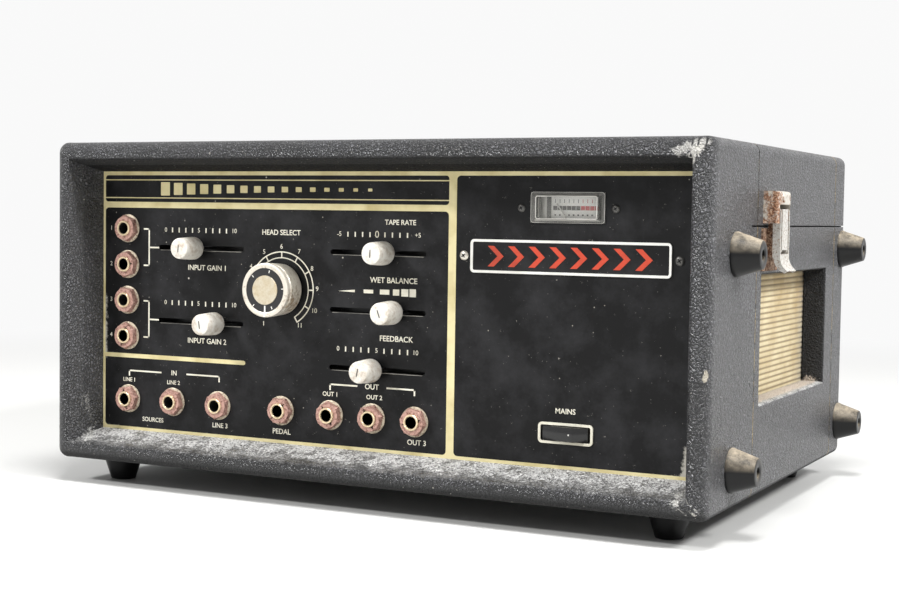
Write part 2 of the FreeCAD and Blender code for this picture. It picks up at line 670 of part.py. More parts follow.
def ring_plate(name, x, z, width, height, line, y):
    """A rectangular frame line with rounded outer corners."""
    outer = block(name + "_outer", (f"{x} - {width} / 2", f"{x} + {width} / 2"), y,
                  (f"{z} - {height} / 2", f"{z} + {height} / 2"))
    soft = rounded(name + "_soft", outer, edges_along("y", 2))
    inner = block(name + "_inner", (f"{x} - {width} / 2 + {line}", f"{x} + {width} / 2 - {line}"),
                  (f"{y[0]} - 1", f"{y[1]} + 1"),
                  (f"{z} - {height} / 2 + {line}", f"{z} + {height} / 2 - {line}"))
    return cut(name, soft, [inner])


def make_badge_and_switch():
    """The framed window, its screws, and the mains rocker in its bezel."""
    x_span = ("badge_x - badge_width / 2", "badge_x + badge_width / 2")
    z_span = ("badge_z - badge_height / 2", "badge_z + badge_height / 2")
    plate = rounded("badge_soft", block("badge_plate", x_span, ("reveal_depth - 1", "reveal_depth"),
                                        z_span), edges_along("y", 2))
    recess = block("badge_recess", ("badge_x - badge_width / 2 + 1.6",
                                    "badge_x + badge_width / 2 - 1.6"),
                   ("reveal_depth - 2", "reveal_depth - 0.4"),
                   ("badge_z - badge_height / 2 + 1.6", "badge_z + badge_height / 2 - 1.6"))
    piece(cut("badge_window", plate, [recess]))
    screws = []
    for number, (x, z, radius) in enumerate((
            ("badge_x - badge_screw_gap", "badge_z", "2.4"),
            ("badge_x + badge_screw_gap", "badge_z", "2.4"),
            ("meter_x - meter_screw_gap", "meter_z - 0.4", "2"),
            ("meter_x + meter_screw_gap", "meter_z - 0.4", "2")), start=1):
        head = taper(f"screw_head_{number}", (f"{radius} - 0.8", radius), "y",
                     ("reveal_depth - 1.2", "reveal_depth"), (x, z))
        shank = rod(f"screw_shank_{number}", "1.2", "y",
                    ("reveal_depth - 0.5", "reveal_depth + 6"), (x, z))
        screws.append(fused(f"screw_{number}", [head, shank]))
    piece(grouped("panel_screws", screws))
    piece(ring_plate("power_bezel", "switch_x", "switch_z", "switch_width", "switch_height",
                     "bezel_line", ("reveal_depth - 0.9", "reveal_depth")))
    back = "reveal_depth + panel_thick"
    body = block("switch_case", ("switch_x - 16", "switch_x + 16"), (back, f"{back} + 20"),
                 ("switch_z - 7", "switch_z + 7"))
    well = block("switch_well", ("switch_x - 13.8", "switch_x + 13.8"),
                 (f"{back} - 1", f"{back} + 7"), ("switch_z - 4.2", "switch_z + 4.2"))
    pivot = rod("switch_pivot_hole", "1.2 + running_gap", "z",
                ("switch_z - 6.2", "switch_z + 6.2"), ("switch_x", "rocker_pivot"))
    piece(cut("power_switch_body", body, [fused("switch_space", [well, pivot])]))
    rocker = outline_solid("rocker_wedge", [
        (-12.9, -1.8), (-12.9, -4.6), (5.4, -9.0), (12.6, -3.6), (12.6, -1.6), (3, 2.5), (-3, 2.5)],
        "z", (size("switch_z") - 3.7, size("switch_z") + 3.7),
        (size("switch_x"), size("rocker_pivot")))
    pin = rod("rocker_pin", "1.2", "z", ("switch_z - 6", "switch_z + 6"),
              ("switch_x", "rocker_pivot"))
    piece(fused("power_rocker", [rocker, pin]))


def outline_solid(name, points, axis, span, centre):
    """A straight-sided outline, drawn across an axis about a centre and made solid along it."""
    corners = []
    for first, second in points:
        across = [first + centre[0], second + centre[1]]
        across.insert("xyz".index(axis), span[0])
        corners.append(FreeCAD.Vector(across[0], across[1] + size("front_y"),
                                      across[2] + size("foot_height")))
    wire = Part.makePolygon(corners + corners[:1])
    depth = FreeCAD.Vector(*((span[1] - span[0]) if letter == axis else 0 for letter in "xyz"))
    solid = DOC.addObject("Part::Feature", name)
    solid.Shape = Part.Face(wire).extrude(depth)
    return solid


def latch_span(low, high):
    """A y span measured from the latch's middle."""
    return (f"latch_y + {low}", f"latch_y + {high}")


def latch_pair(name, side, u, w, z):
    """Two like plates of a latch, either side of its middle."""
    low, high = w
    return [block(f"{name}_front", outward(side, *u), latch_span(-high, -low), z),
            block(f"{name}_rear", outward(side, *u), latch_span(low, high), z)]


def latch_outline(name, side, points, w):
    """A plate of a latch: its outline gives distance from the case's side and height."""
    out = size("case_width") / 2
    middle = size("latch_y")
    return outline_solid(name, [(side * (out + u), z) for u, z in points], "y",
                         (middle + w[0], middle + w[1]), (0, 0))


def latch_base(side, name):
    """The sheet metal base on the case, with two ears that rise to the lever's pivot."""
    plate = block(f"{name}_plate", outward(side, "0", "latch_sheet"), latch_span(-14, 14),
                  ("119.5", "142"))
    pivot_x = outward(side, "latch_pivot_out", "latch_pivot_out")[0]
    ear = [(0.6, 127), (4.4, 127), (4.4, 140), (8.7, 147), (8.7, 150.4), (4.7, 150.4),
           (1.8, 145), (1.8, 142), (0.6, 142)]
    solids = [plate]
    for end, w in (("front", (-7.4, -6.4)), ("rear", (6.4, 7.4))):
        solids.append(latch_outline(f"{name}_ear_{end}", side, ear, w))
        solids.append(rod(f"{name}_ear_top_{end}", "2", "y", latch_span(*w),
                          (pivot_x, "latch_pivot_z")))
    hole = rod(f"{name}_hole", "1.2 + running_gap", "y", latch_span(-8, 8),
               (pivot_x, "latch_pivot_z"))
    return cut(name, fused(f"{name}_solid", solids), [hole])


def latch_lever(side, name):
    """The lever: two curved rails that hang from the pivot, with a finger tab below."""
    pivot_x = outward(side, "latch_pivot_out", "latch_pivot_out")[0]
    inner = [(4.7, 150.4), (4.7, 128), (5.2, 125.2), (6.6, 122.4), (8.8, 119.9), (11.2, 118.6)]
    outer = [(12.9, 119.6), (10.9, 121.4), (9.6, 123.4), (8.9, 125.8), (8.8, 128), (8.8, 150.4)]
    solids = []
    for end, w, stud in (("front", (-9, -7.8), (-9.4, -6.2)), ("rear", (7.8, 9), (6.2, 9.4))):
        solids.append(latch_outline(f"{name}_rail_{end}", side, inner + outer, w))
        solids.append(rod(f"{name}_top_{end}", "2.05", "y", latch_span(*w),
                          (pivot_x, "latch_pivot_z")))
        solids.append(rod(f"{name}_stud_{end}", "1.2", "y", latch_span(*stud),
                          (pivot_x, "latch_pivot_z")))
    tab = [(7.6, 128.4), (7.7, 125.6), (8.5, 123), (9.9, 121), (11.2, 119.6)] + outer[:5]
    tab.append((8.8, 128.4))
    solids.append(latch_outline(f"{name}_tab", side, tab, (-9, 9)))
    hole = rod(f"{name}_hole", "1.2 + running_gap", "y", latch_span(-10, 10),
               (pivot_x, "claw_pivot_z"))
    return cut(name, fused(f"{name}_solid", solids), [hole])


def latch_claw(side, name):
    """The claw: a channel that stands on the lever and hooks over the keeper's lip."""
    pivot_x = outward(side, "latch_pivot_out", "latch_pivot_out")[0]
    strap = block(f"{name}_strap", outward(side, "7.6", "latch_face"), latch_span(-5.6, 5.6),
                  ("130.6", "152"))
    cheeks = latch_pair(f"{name}_cheek", side, ("4.2", "latch_face"), (4.6, 5.6),
                        ("131", "152"))
    hook = block(f"{name}_hook", outward(side, "3.9", "latch_face"), latch_span(-5.6, 5.6),
                 ("150.8", "152"))
    solids = [strap, hook] + cheeks
    for end, eye, pin in (("front", (-5.6, -4.6), (-9, -4.8)), ("rear", (4.6, 5.6), (4.8, 9))):
        solids.append(rod(f"{name}_eye_{end}", "2.1", "y", latch_span(*eye),
                          (pivot_x, "claw_pivot_z")))
        solids.append(rod(f"{name}_pin_{end}", "1.2", "y", latch_span(*pin),
                          (pivot_x, "claw_pivot_z")))
    return fused(name, solids)


def latch_keeper(side, name):
    """The keeper on the lid: a hood over the latch's top, with a lip inside for the claw."""
    shell = block(f"{name}_shell", outward(side, "0", "latch_face"), latch_span(-11.4, 11.4),
                  ("144.5", "161.5"))
    soft = rounded(f"{name}_soft", shell, keeper_edges(side))
    room = block(f"{name}_room", outward(side, "latch_sheet", "7.6"), latch_span(-10.2, 10.2),
                 ("143", "160.3"))
    slot = block(f"{name}_slot", outward(side, "latch_sheet", "12"), latch_span(-10.2, 10.2),
                 ("143", "154.5"))
    hood = cut(f"{name}_hood", soft, [fused(f"{name}_space", [room, slot])])
    lip = block(f"{name}_lip", outward(side, "0.5", "3.5"), latch_span(-5.6, 5.6),
                ("148.2", "149.6"))
    rivet = rod(f"{name}_rivet", "2.2", "x", outward(side, "7.8", "9.6"),
                ("latch_y - 4.5", "157.8"))
    return fused(name, [hood, lip, rivet])


def keeper_edges(side):
    """A rule for rounded: the outer edges of a keeper's hood."""
    outer = side * (size("case_width") / 2 + size("latch_face"))
    bottom = size("foot_height") + 144.5

    def rule(edge):
        middle = edge.CenterOfMass
        return 2.4 if abs(middle.x - outer) < 0.01 and middle.z > bottom + 0.01 else 0

    return rule


def make_latches():
    """Right and left draw latches."""
    pairs = ((1, "right"), (-1, "left"))
    piece(grouped("latch_bases", [latch_base(side, f"latch_base_{word}") for side, word in pairs]))
    piece(grouped("latch_keepers",
                  [latch_keeper(side, f"latch_keeper_{word}") for side, word in pairs]))
    for side, word in pairs:
        piece(latch_lever(side, f"latch_lever_{word}"))
        piece(latch_claw(side, f"latch_claw_{word}"))


def make_handle():
    """A bail handle on the left side, hung in two brackets."""
    x = "-case_width / 2 - handle_pivot_out"
    span = ("handle_y - handle_length / 2", "handle_y + handle_length / 2")
    low = "handle_pivot_z - handle_reach"
    bar = rod("handle_bar", "handle_radius", "y", span, (x, low))
    solids = [bar]
    brackets = []
    for end, sign in (("front", "-"), ("rear", "+")):
        middle = f"handle_y {sign} (handle_length / 2 - 5)"
        y = (f"{middle} - 5", f"{middle} + 5")
        solids.append(block(f"handle_arm_{end}", (f"{x} - 4", f"{x} + 4"), y,
                            (low, "handle_pivot_z")))
        solids.append(rod(f"handle_eye_{end}", "4.5", "y", y, (x, "handle_pivot_z")))
        solids.append(rod(f"handle_stub_{end}", "2.5", "y",
                          (f"{middle} - 9.2", f"{middle} + 9.2"), (x, "handle_pivot_z")))
        plate = block(f"bracket_plate_{end}", outward(-1, "0", "1.5"),
                      (f"{middle} - 11", f"{middle} + 11"),
                      ("handle_pivot_z - 9", "handle_pivot_z + 12"))
        cheeks = [block(f"bracket_cheek_{end}_{number}", outward(-1, "0", "11"),
                        (f"{middle} {shift} 9.5 - 1.2", f"{middle} {shift} 9.5 + 1.2"),
                        ("handle_pivot_z - 5.5", "handle_pivot_z + 8"))
                  for number, shift in enumerate("-+")]
        hole = rod(f"bracket_hole_{end}", "2.5 + running_gap", "y",
                   (f"{middle} - 12", f"{middle} + 12"), (x, "handle_pivot_z"))
        brackets.append(cut(f"handle_bracket_{end}",
                            fused(f"bracket_solid_{end}", [plate] + cheeks), [hole]))
    piece(fused("handle_grip", solids))
    piece(grouped("handle_brackets", brackets))


def make_hinges():
    """Two butt hinges at the rear, with the lid's knuckle between the case's."""
    out = "case_depth + hinge_out"
    face = ("case_depth", "case_depth + leaf_thick")
    case_leaves, lid_leaves, pins = [], [], []
    for word, x in (("left", "-hinge_x"), ("right", "hinge_x")):
        whole = (f"{x} - hinge_length / 2", f"{x} + hinge_length / 2")
        middle = (f"{x} - 7.7", f"{x} + 7.7")
        level = "split_level"
        parts = [block(f"case_leaf_{word}", whole, face, (f"{level} - 24", f"{level} - 3.4"))]
        for end, span in (("a", (whole[0], f"{x} - 8")), ("b", (f"{x} + 8", whole[1]))):
            parts.append(block(f"case_web_{word}_{end}", span, face, (f"{level} - 4", level)))
            parts.append(rod(f"case_knuckle_{word}_{end}", "knuckle_radius", "x", span,
                             (out, level)))
        hole = rod(f"case_pin_hole_{word}", "hinge_pin_radius", "x",
                   (f"{whole[0]} - 1", f"{whole[1]} + 1"), (out, level))
        case_leaves.append(cut(f"case_hinge_{word}", fused(f"case_hinge_solid_{word}", parts),
                               [hole]))
        leaf = block(f"lid_leaf_{word}", whole, face, (f"{level} + 3.4", f"{level} + 24"))
        web = block(f"lid_web_{word}", middle, face, (level, f"{level} + 4"))
        knuckle = rod(f"lid_knuckle_{word}", "knuckle_radius", "x", middle, (out, level))
        bore = rod(f"lid_pin_bore_{word}", "hinge_pin_radius + running_gap", "x",
                   (f"{middle[0]} - 1", f"{middle[1]} + 1"), (out, level))
        lid_leaves.append(cut(f"lid_hinge_{word}",
                              fused(f"lid_hinge_solid_{word}", [leaf, web, knuckle]), [bore]))
        pins.append(rod(f"hinge_pin_{word}", "hinge_pin_radius", "x", whole, (out, level)))
    piece(grouped("case_hinge_leaves", case_leaves))
    piece(grouped("lid_hinge_leaves", lid_leaves))
    piece(grouped("hinge_pins", pins))


def belt_loop(name, wheels, inset, thick, z):
    """A flat belt round two wheels, each given as x, y and radius."""
    (ax, ay, ar), (bx, by, br) = wheels
    run = math.hypot(bx - ax, by - ay)
    heading = math.atan2(by - ay, bx - ax)

    def face(extra):
        big, small = ar + extra, br + extra
        lean = math.acos((big - small) / run)
        ends = [heading + lean, heading - lean]
        a_points = [FreeCAD.Vector(ax + big * math.cos(t), ay + big * math.sin(t), 0) for t in ends]
        b_points = [FreeCAD.Vector(bx + small * math.cos(t), by + small * math.sin(t), 0)
                    for t in ends]
        a_far = FreeCAD.Vector(ax - big * math.cos(heading), ay - big * math.sin(heading), 0)
        b_far = FreeCAD.Vector(bx + small * math.cos(heading), by + small * math.sin(heading), 0)
        wire = Part.Wire([
            Part.Arc(a_points[0], a_far, a_points[1]).toShape(),
            Part.LineSegment(a_points[1], b_points[1]).toShape(),
            Part.Arc(b_points[1], b_far, b_points[0]).toShape(),
            Part.LineSegment(b_points[0], a_points[0]).toShape()])
        return Part.Face(wire)

    loop = face(inset + thick).cut(face(inset)).extrude(FreeCAD.Vector(0, 0, z[1] - z[0]))
    loop.translate(FreeCAD.Vector(0, size("front_y"), size("foot_height") + z[0]))
    solid = DOC.addObject("Part::Feature", name)
    solid.Shape = loop
    return solid


def make_drive():
    """Motor under the deck, belt, flywheel and capstan, and the pinch roller on its arm."""
    top = "deck_level + deck_thick"
    wheel = ("capstan_x", "capstan_y")
    wheel_top = "flywheel_low + flywheel_thick"
    piece(turned("flywheel", [
        ("capstan_radius", "0"), ("flywheel_radius - 1", "0"), ("flywheel_radius", "1"),
        ("flywheel_radius", "flywheel_thick - 1"), ("flywheel_radius - 1", "flywheel_thick"),
        ("flywheel_radius - 7", "flywheel_thick"), ("flywheel_radius - 8", "flywheel_thick - 3"),
        ("10", "flywheel_thick - 3"), ("9", "flywheel_thick"),
        ("capstan_radius", "flywheel_thick")], "z", "flywheel_low", wheel))
    piece(rod("capstan_shaft", "capstan_radius", "z", ("deck_level - 12", "166"), wheel))
    bearing = fused("bearing_solid", [
        rod("bearing_barrel", "7", "z", ("deck_level - 14", f"{top} + 1"), wheel),
        rod("bearing_flange", "11", "z", (top, f"{top} + 1"), wheel)])
    piece(cut("capstan_bearing", bearing, [rod(
        "bearing_bore", "capstan_radius + running_gap", "z", ("deck_level - 12.5", f"{top} + 2"),
        wheel)]))
    motor_at = ("motor_x", "motor_y")
    can = rod("motor_can", "motor_radius", "z", ("deck_level - motor_length", "deck_level"),
              motor_at)
    boss = rod("motor_boss", "8", "z", ("deck_level - 1", f"{top} + 1"), motor_at)
    bore = rod("motor_bore", "1.5 + running_gap", "z", ("deck_level - 10", f"{top} + 2"), motor_at)
    piece(cut("drive_motor", fused("motor_solid", [can, boss]), [bore]))
    pulley = turned("pulley_turning", [
        ("0", "0"), ("pulley_radius + 1.6", "0"), ("pulley_radius + 1.6", "1"),
        ("pulley_radius", "1.4"), ("pulley_radius", "6.6"), ("pulley_radius + 1.6", "7"),
        ("pulley_radius + 1.6", "8"), ("0", "8")], "z", "flywheel_low", motor_at)
    spindle = rod("motor_spindle", "1.5", "z", ("deck_level - 9", "flywheel_low + 2"), motor_at)
    piece(fused("motor_pulley", [pulley, spindle]))
    middle = size("flywheel_low") + size("flywheel_thick") / 2
    piece(belt_loop("drive_belt", [
        (size("capstan_x"), size("capstan_y"), size("flywheel_radius")),
        (size("motor_x"), size("motor_y"), size("pulley_radius"))],
        size("belt_gap"), size("belt_thick"), (middle - 2, middle + 2)))
    roller_y = "tape_line - 0.4 - roller_radius"
    roller_at = ("capstan_x", roller_y)
    piece(turned("pinch_roller", [
        ("spindle_radius + running_gap", "0"), ("roller_radius - 0.6", "0"),
        ("roller_radius", "0.6"), ("roller_radius", "11.4"), ("roller_radius - 0.6", "12"),
        ("spindle_radius + running_gap", "12")], "z", "tape_low - 2.8", roller_at))
    arm_low = f"{wheel_top} + 1.2"
    arm_high = "tape_low - 3.2"
    spindle = rod("roller_spindle", "spindle_radius", "z", (arm_low, "tape_low + 10.5"), roller_at)
    ends = [rod("arm_roller_end", "6", "z", (arm_low, arm_high), roller_at),
            rod("arm_pivot_end", "7", "z", (arm_low, arm_high), ("arm_x", "arm_y"))]
    start = FreeCAD.Vector(size("capstan_x"), size("tape_line") - 0.4 - size("roller_radius"), 0)
    finish = FreeCAD.Vector(size("arm_x"), size("arm_y"), 0)
    along = (finish - start).normalize()
    side = FreeCAD.Vector(-along.y, along.x, 0) * 5
    low = size("flywheel_low") + size("flywheel_thick") + 1.2
    corners = [(point.x, point.y) for point in
               (start + side, finish + side, finish - side, start - side)]
    bar = outline_solid("arm_bar", corners, "z", (low, size("tape_low") - 3.2), (0, 0))
    arm = fused("arm_solid", [spindle, bar] + ends)
    piece(cut("pinch_arm", arm, [rod("arm_bore", "3 + running_gap", "z",
                                     (f"{arm_low} - 1", f"{arm_high} + 1"), ("arm_x", "arm_y"))]))
    post = fused("arm_post", [
        rod("arm_post_foot", "8", "z", (top, f"{arm_low} - 0.3"), ("arm_x", "arm_y")),
        rod("arm_post_pin", "3", "z", (top, f"{arm_high} + 4"), ("arm_x", "arm_y"))])
    return post


def make_deck():
    """Deck plate, heads on their block, guide posts and the tape loop."""
    top = "deck_level + deck_thick"
    arm_post = make_drive()
    inside = "case_width / 2 - wall - 0.5"
    plate = block("deck_blank", (f"-({inside})", inside), ("seam_front + 2", "case_depth - wall"),
                  ("deck_level", top))
    holes = [rod("bearing_hole", "7", "z", ("deck_level - 1", f"{top} + 1"),
                 ("capstan_x", "capstan_y")),
             rod("motor_hole", "8", "z", ("deck_level - 1", f"{top} + 1"),
                 ("motor_x", "motor_y"))]
    piece(cut("deck_plate", plate, holes))
    piece(block("head_block", ("-118", "14"), ("tape_line + 1", "tape_line + 28"),
                (top, "tape_low - 5")))
    heads = []
    for number in range(5):
        x = f"-100 + {number} * 25"
        case = block(f"head_case_{number}", (f"{x} - 7", f"{x} + 7"),
                     ("tape_line + 0.8", "tape_line + 19"), ("tape_low - 5", "tape_low + 9"))
        heads.append(rounded(f"head_{number}", case, edges_along("z", 3)))
    piece(grouped("tape_heads", heads))
    posts = [arm_post]
    for number, (sx, y) in enumerate((("-", "tape_line - tape_bend"), ("", "tape_line - tape_bend"),
                                      ("-", "tape_front + tape_bend"),
                                      ("", "tape_front + tape_bend")), start=1):
        across = (f"{sx}(tape_half - tape_bend)", y)
        parts = [rod(f"post_core_{number}", "tape_bend - tape_thick - 0.4", "z",
                     (top, "tape_low + tape_width + 3"), across),
                 rod(f"post_low_flange_{number}", "tape_bend + 1", "z",
                     ("tape_low - 3", "tape_low - 1"), across),
                 rod(f"post_top_flange_{number}", "tape_bend + 1", "z",
                     ("tape_low + tape_width + 1", "tape_low + tape_width + 3"), across)]
        posts.append(fused(f"guide_post_{number}", parts))
    piece(grouped("guide_posts", posts))
    z = ("tape_low", "tape_low + tape_width")
    outer = block("tape_outer", ("-tape_half", "tape_half"), ("tape_front", "tape_line"), z)
    outer_soft = rounded("tape_outer_soft", outer, edges_along("z", size("tape_bend")))
    inner = block("tape_inner", ("-tape_half + tape_thick", "tape_half - tape_thick"),
                  ("tape_front + tape_thick", "tape_line - tape_thick"),
                  ("tape_low - 1", "tape_low + tape_width + 1"))
    inner_soft = rounded("tape_inner_soft", inner,
                         edges_along("z", size("tape_bend") - size("tape_thick")))
    piece(cut("tape_loop", outer_soft, [inner_soft]))


def make_electronics():
    """Steel chassis on the case floor with the board, its capacitors and the transformer."""
    floor = "wall"
    tray = block("chassis_floor", ("-176", "176"), ("57", "262"), (floor, "wall + 1.5"))
    flanges = [block(f"chassis_flange_{number}", ("-176", "176"), span, (floor, "wall + 14"))
               for number, span in enumerate((("57", "58.5"), ("260.5", "262")))]
    posts = [rod(f"chassis_post_{number}", "3", "z", (floor, "wall + 10"), across)
             for number, across in enumerate((("-150", "75"), ("-150", "215"),
                                              ("60", "75"), ("60", "215")))]
    piece(fused("chassis_tray", [tray] + flanges + posts))
    board_top = "wall + 11.6"
    piece(block("circuit_board", ("-158", "68"), ("67", "223"), ("wall + 10", board_top)))
    cans = [rod(f"capacitor_{number}", radius, "z", (board_top, f"{board_top} + {height}"), across)
            for number, (radius, height, across) in enumerate((
                ("10", "34", ("40", "195")), ("10", "34", ("14", "195")),
                ("6", "18", ("-20", "200")), ("6", "18", ("-40", "200")),
                ("5", "14", ("-100", "95")), ("5", "14", ("-60", "95"))))]
    piece(grouped("capacitors", cans))
    core = block("transformer_core", ("100", "160"), ("100", "150"), ("wall + 1.5", "wall + 51"))
    coil = block("transformer_coil", ("108", "152"), ("90", "160"), ("wall + 12", "wall + 42"))
    piece(fused("power_transformer", [core, rounded("coil_soft", coil, edges_along("x", 5))]))


def make_rear():
    """Mains inlet and fuse holder in the rear wall."""
    flange = block("inlet_flange", ("inlet_x - 19", "inlet_x + 19"),
                   ("case_depth", "case_depth + 2"), ("inlet_z - 14", "inlet_z + 14"))
    soft = rounded("inlet_flange_soft", flange, edges_along("y", 3))
    body = block("inlet_body", ("inlet_x - 13.5", "inlet_x + 13.5"),
                 ("case_depth - 22", "case_depth + 1"), ("inlet_z - 9.5", "inlet_z + 9.5"))
    well = block("inlet_well", ("inlet_x - 8.5", "inlet_x + 8.5"),
                 ("case_depth - 14", "case_depth + 5"), ("inlet_z - 4.7", "inlet_z + 4.7"))
    shell = cut("inlet_shell", fused("inlet_solid", [soft, body]), [well])
    pins = [rod(f"inlet_pin_{number}", "1.2", "y", ("case_depth - 16", "case_depth - 4"),
                (f"inlet_x {sign} 4.3", "inlet_z")) for number, sign in enumerate("-+")]
    piece(fused("mains_inlet", [shell] + pins))
    at = ("fuse_x", "inlet_z")
    piece(fused("fuse_holder", [
        rod("fuse_barrel", "6", "y", ("case_depth - 32", "case_depth + 1"), at),
        rod("fuse_collar", "9", "y", ("case_depth", "case_depth + 1.6"), at),
        rod("fuse_cap", "7", "y", ("case_depth + 1", "case_depth + 4.5"), at)]))


def check_and_write():
    """Stop on any failed object or bad solid, then write each sub-part."""
    DOC.recompute()
    for item in DOC.Objects:
        if "Invalid" in item.State or "Error" in item.State:
            raise RuntimeError(f"{item.Name} failed: {item.State}")
    os.makedirs("parts", exist_ok=True)
    for item in PIECES:
        shape = item.Shape
        if shape.isNull() or not shape.isValid() or not shape.Solids:
            raise RuntimeError(f"{item.Label} has no valid solid")
        shape.exportStep(f"parts/{item.Label}.step")
        box = shape.BoundBox
        print(f"{item.Label}: {len(shape.Solids)} solids, volume {shape.Volume:.0f}, "
              f"x {box.XMin:.1f} {box.XMax:.1f} y {box.YMin:.1f} {box.YMax:.1f} "
              f"z {box.ZMin:.1f} {box.ZMax:.1f}")
    print(len(PIECES), "sub-parts")


make_case()
make_feet()
make_sockets()
make_panel()
make_sliders()
make_selector()
make_meter()
make_badge_and_switch()
make_latches()
make_handle()
make_hinges()
make_deck()
make_electronics()
make_rear()
check_and_write()
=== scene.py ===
import math

import bmesh
import bpy
from mathutils import Matrix, Vector


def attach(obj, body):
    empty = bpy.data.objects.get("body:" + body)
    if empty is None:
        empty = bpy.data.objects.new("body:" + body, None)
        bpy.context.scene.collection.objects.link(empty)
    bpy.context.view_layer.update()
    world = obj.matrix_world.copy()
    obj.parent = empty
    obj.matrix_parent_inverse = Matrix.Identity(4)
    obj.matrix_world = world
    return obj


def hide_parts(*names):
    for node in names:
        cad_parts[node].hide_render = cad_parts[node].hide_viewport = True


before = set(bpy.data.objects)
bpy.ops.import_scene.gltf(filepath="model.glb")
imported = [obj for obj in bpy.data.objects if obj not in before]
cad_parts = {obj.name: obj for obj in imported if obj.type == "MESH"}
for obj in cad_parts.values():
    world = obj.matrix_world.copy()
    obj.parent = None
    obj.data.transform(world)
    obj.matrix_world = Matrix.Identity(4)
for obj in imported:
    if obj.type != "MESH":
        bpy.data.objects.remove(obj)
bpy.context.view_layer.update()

# Pieces are drawn in case millimetres: x from the centre, y back from the case's front face,
# z up from its underside. CASE takes them to the frame, in metres from the floor.
FRONT_Y = -143
FOOT_HEIGHT = 14
CASE = Matrix.Scale(0.001, 4) @ Matrix.Translation((0, FRONT_Y, FOOT_HEIGHT))
CASE_HALF = 200
CASE_DEPTH = 280
CASE_TOP = 186
# the panel's face, and how thick the ink on it is
PANEL = 25.2
PRINT = 0.06
# where two strips of the covering meet
SEAM = 77.7
REAR_SEAM = 247.7
# front, rear, lower and upper edge of the vent, and the wall's inner face behind it
VENT = (88.2, 228.2, 49.1, 117.5)
CLOTH_OUTSIDE = 187

SOCKETS = [(-165.3, 136.1 - 21.2 * number) for number in range(4)]
SOCKETS += [(-164.3 + 32.3 * number, 35) for number in range(3)]
SOCKETS += [(-56.7, 35)]
SOCKETS += [(-24.6 + 26.6 * number, 34.7) for number in range(3)]
# slot centre x, slot z, knob x at rest
SLIDERS = [(-113, 125.4, -114.3), (-113, 82.6, -99.5), (4.5, 125.4, 11.0),
           (4.5, 93.5, 16.5), (4.5, 61.5, 3.9)]
SELECTOR = (-57.3, 103.6)
METER = (115.9, 151.1)
BADGE = (116.6, 125.3)
SWITCH = (116.8, 34.9)
ROCKER_PIVOT = 29.2
SAW_CUT = (142.6, 143.4)
RIB_PITCH = 3.1
RIB_START = VENT[2]
# how much the heavier words on the panel are thickened
BOLD = 0.05


# Materials

def linear(code):
    """An sRGB hex colour as linear red, green, blue and alpha."""
    def channel(start):
        value = int(code[start:start + 2], 16) / 255
        return value / 12.92 if value <= 0.04045 else ((value + 0.055) / 1.055) ** 2.4

    return (channel(1), channel(3), channel(5), 1)


def add(tree, kind, inputs=None, **settings):
    """A node with its settings, and its inputs set to a value or fed from another node."""
    made = tree.nodes.new("ShaderNode" + kind)
    for name, value in settings.items():
        setattr(made, name, value)
    for socket, value in (inputs or {}).items():
        if isinstance(value, bpy.types.Node):
            value = next(output for output in value.outputs if output.enabled)
        if isinstance(value, bpy.types.NodeSocket):
            tree.links.new(value, made.inputs[socket])
        else:
            made.inputs[socket].default_value = linear(value) if isinstance(value, str) else value
    return made


def finish(tree, shader, **inputs):
    """Feed the shader's sockets, named with underscores for spaces."""
    for name, node in inputs.items():
        output = next(output for output in node.outputs if output.enabled)
        tree.links.new(output, shader.inputs[name.replace("_", " ")])


def start(name, colour, roughness, metallic=0.0):
    """A new material, its tree and shader, and the place and direction on the object."""
    material = bpy.data.materials.new(name)
    material.use_nodes = True
    tree = material.node_tree
    shader = tree.nodes["Principled BSDF"]
    shader.inputs["Base Color"].default_value = linear(colour)
    shader.inputs["Roughness"].default_value = roughness
    shader.inputs["Metallic"].default_value = metallic
    coordinates = add(tree, "TexCoord")
    return material, tree, shader, coordinates.outputs["Object"], coordinates.outputs["Normal"]


def spots(tree, place, spacing, size, share):
    """Scattered dots: a mask from 0 to 1 from their spacing and radius in millimetres, and the
    share of places that stay empty."""
    cells = add(tree, "TexVoronoi", {"Vector": place, "Scale": 1000 / spacing})
    dot = add(tree, "MapRange", {"Value": cells, "From Min": size / spacing,
                                 "From Max": 0.5 * size / spacing})
    chance = add(tree, "SeparateXYZ", {0: cells.outputs["Color"]})
    kept = add(tree, "Math", {0: chance, 1: share}, operation="GREATER_THAN")
    return add(tree, "Math", {0: dot, 1: kept}, operation="MULTIPLY")


def near_line(tree, place, first, last, reach):
    """How near the surface is to a line between two points in case millimetres: 1 on it, and
    0 at its reach."""
    first, last = CASE @ Vector(first), CASE @ Vector(last)
    along = last - first
    length = max(along.length, 0.0001)
    offset = add(tree, "VectorMath", {0: place, 1: first}, operation="SUBTRACT")
    share = add(tree, "VectorMath", {0: offset, 1: along / length ** 2}, operation="DOT_PRODUCT")
    share = add(tree, "Clamp", {0: share.outputs["Value"]})
    foot_point = add(tree, "VectorMath", {0: along, "Scale": share}, operation="SCALE")
    away = add(tree, "VectorMath", {0: offset, 1: foot_point}, operation="DISTANCE")
    return add(tree, "MapRange", {"Value": away.outputs["Value"],
                                  "From Min": reach / 1000, "From Max": 0.0})


def specked(tree, colour, place, specks):
    """The colour with specks on it. Each kind has its spacing and radius in millimetres, the
    share of places that stay empty, and a tone."""
    for spacing, radius, share, tone in specks:
        speck = spots(tree, place, spacing, radius, share)
        colour = add(tree, "Mix", {0: speck, 6: colour, 7: tone}, data_type="RGBA")
    return colour


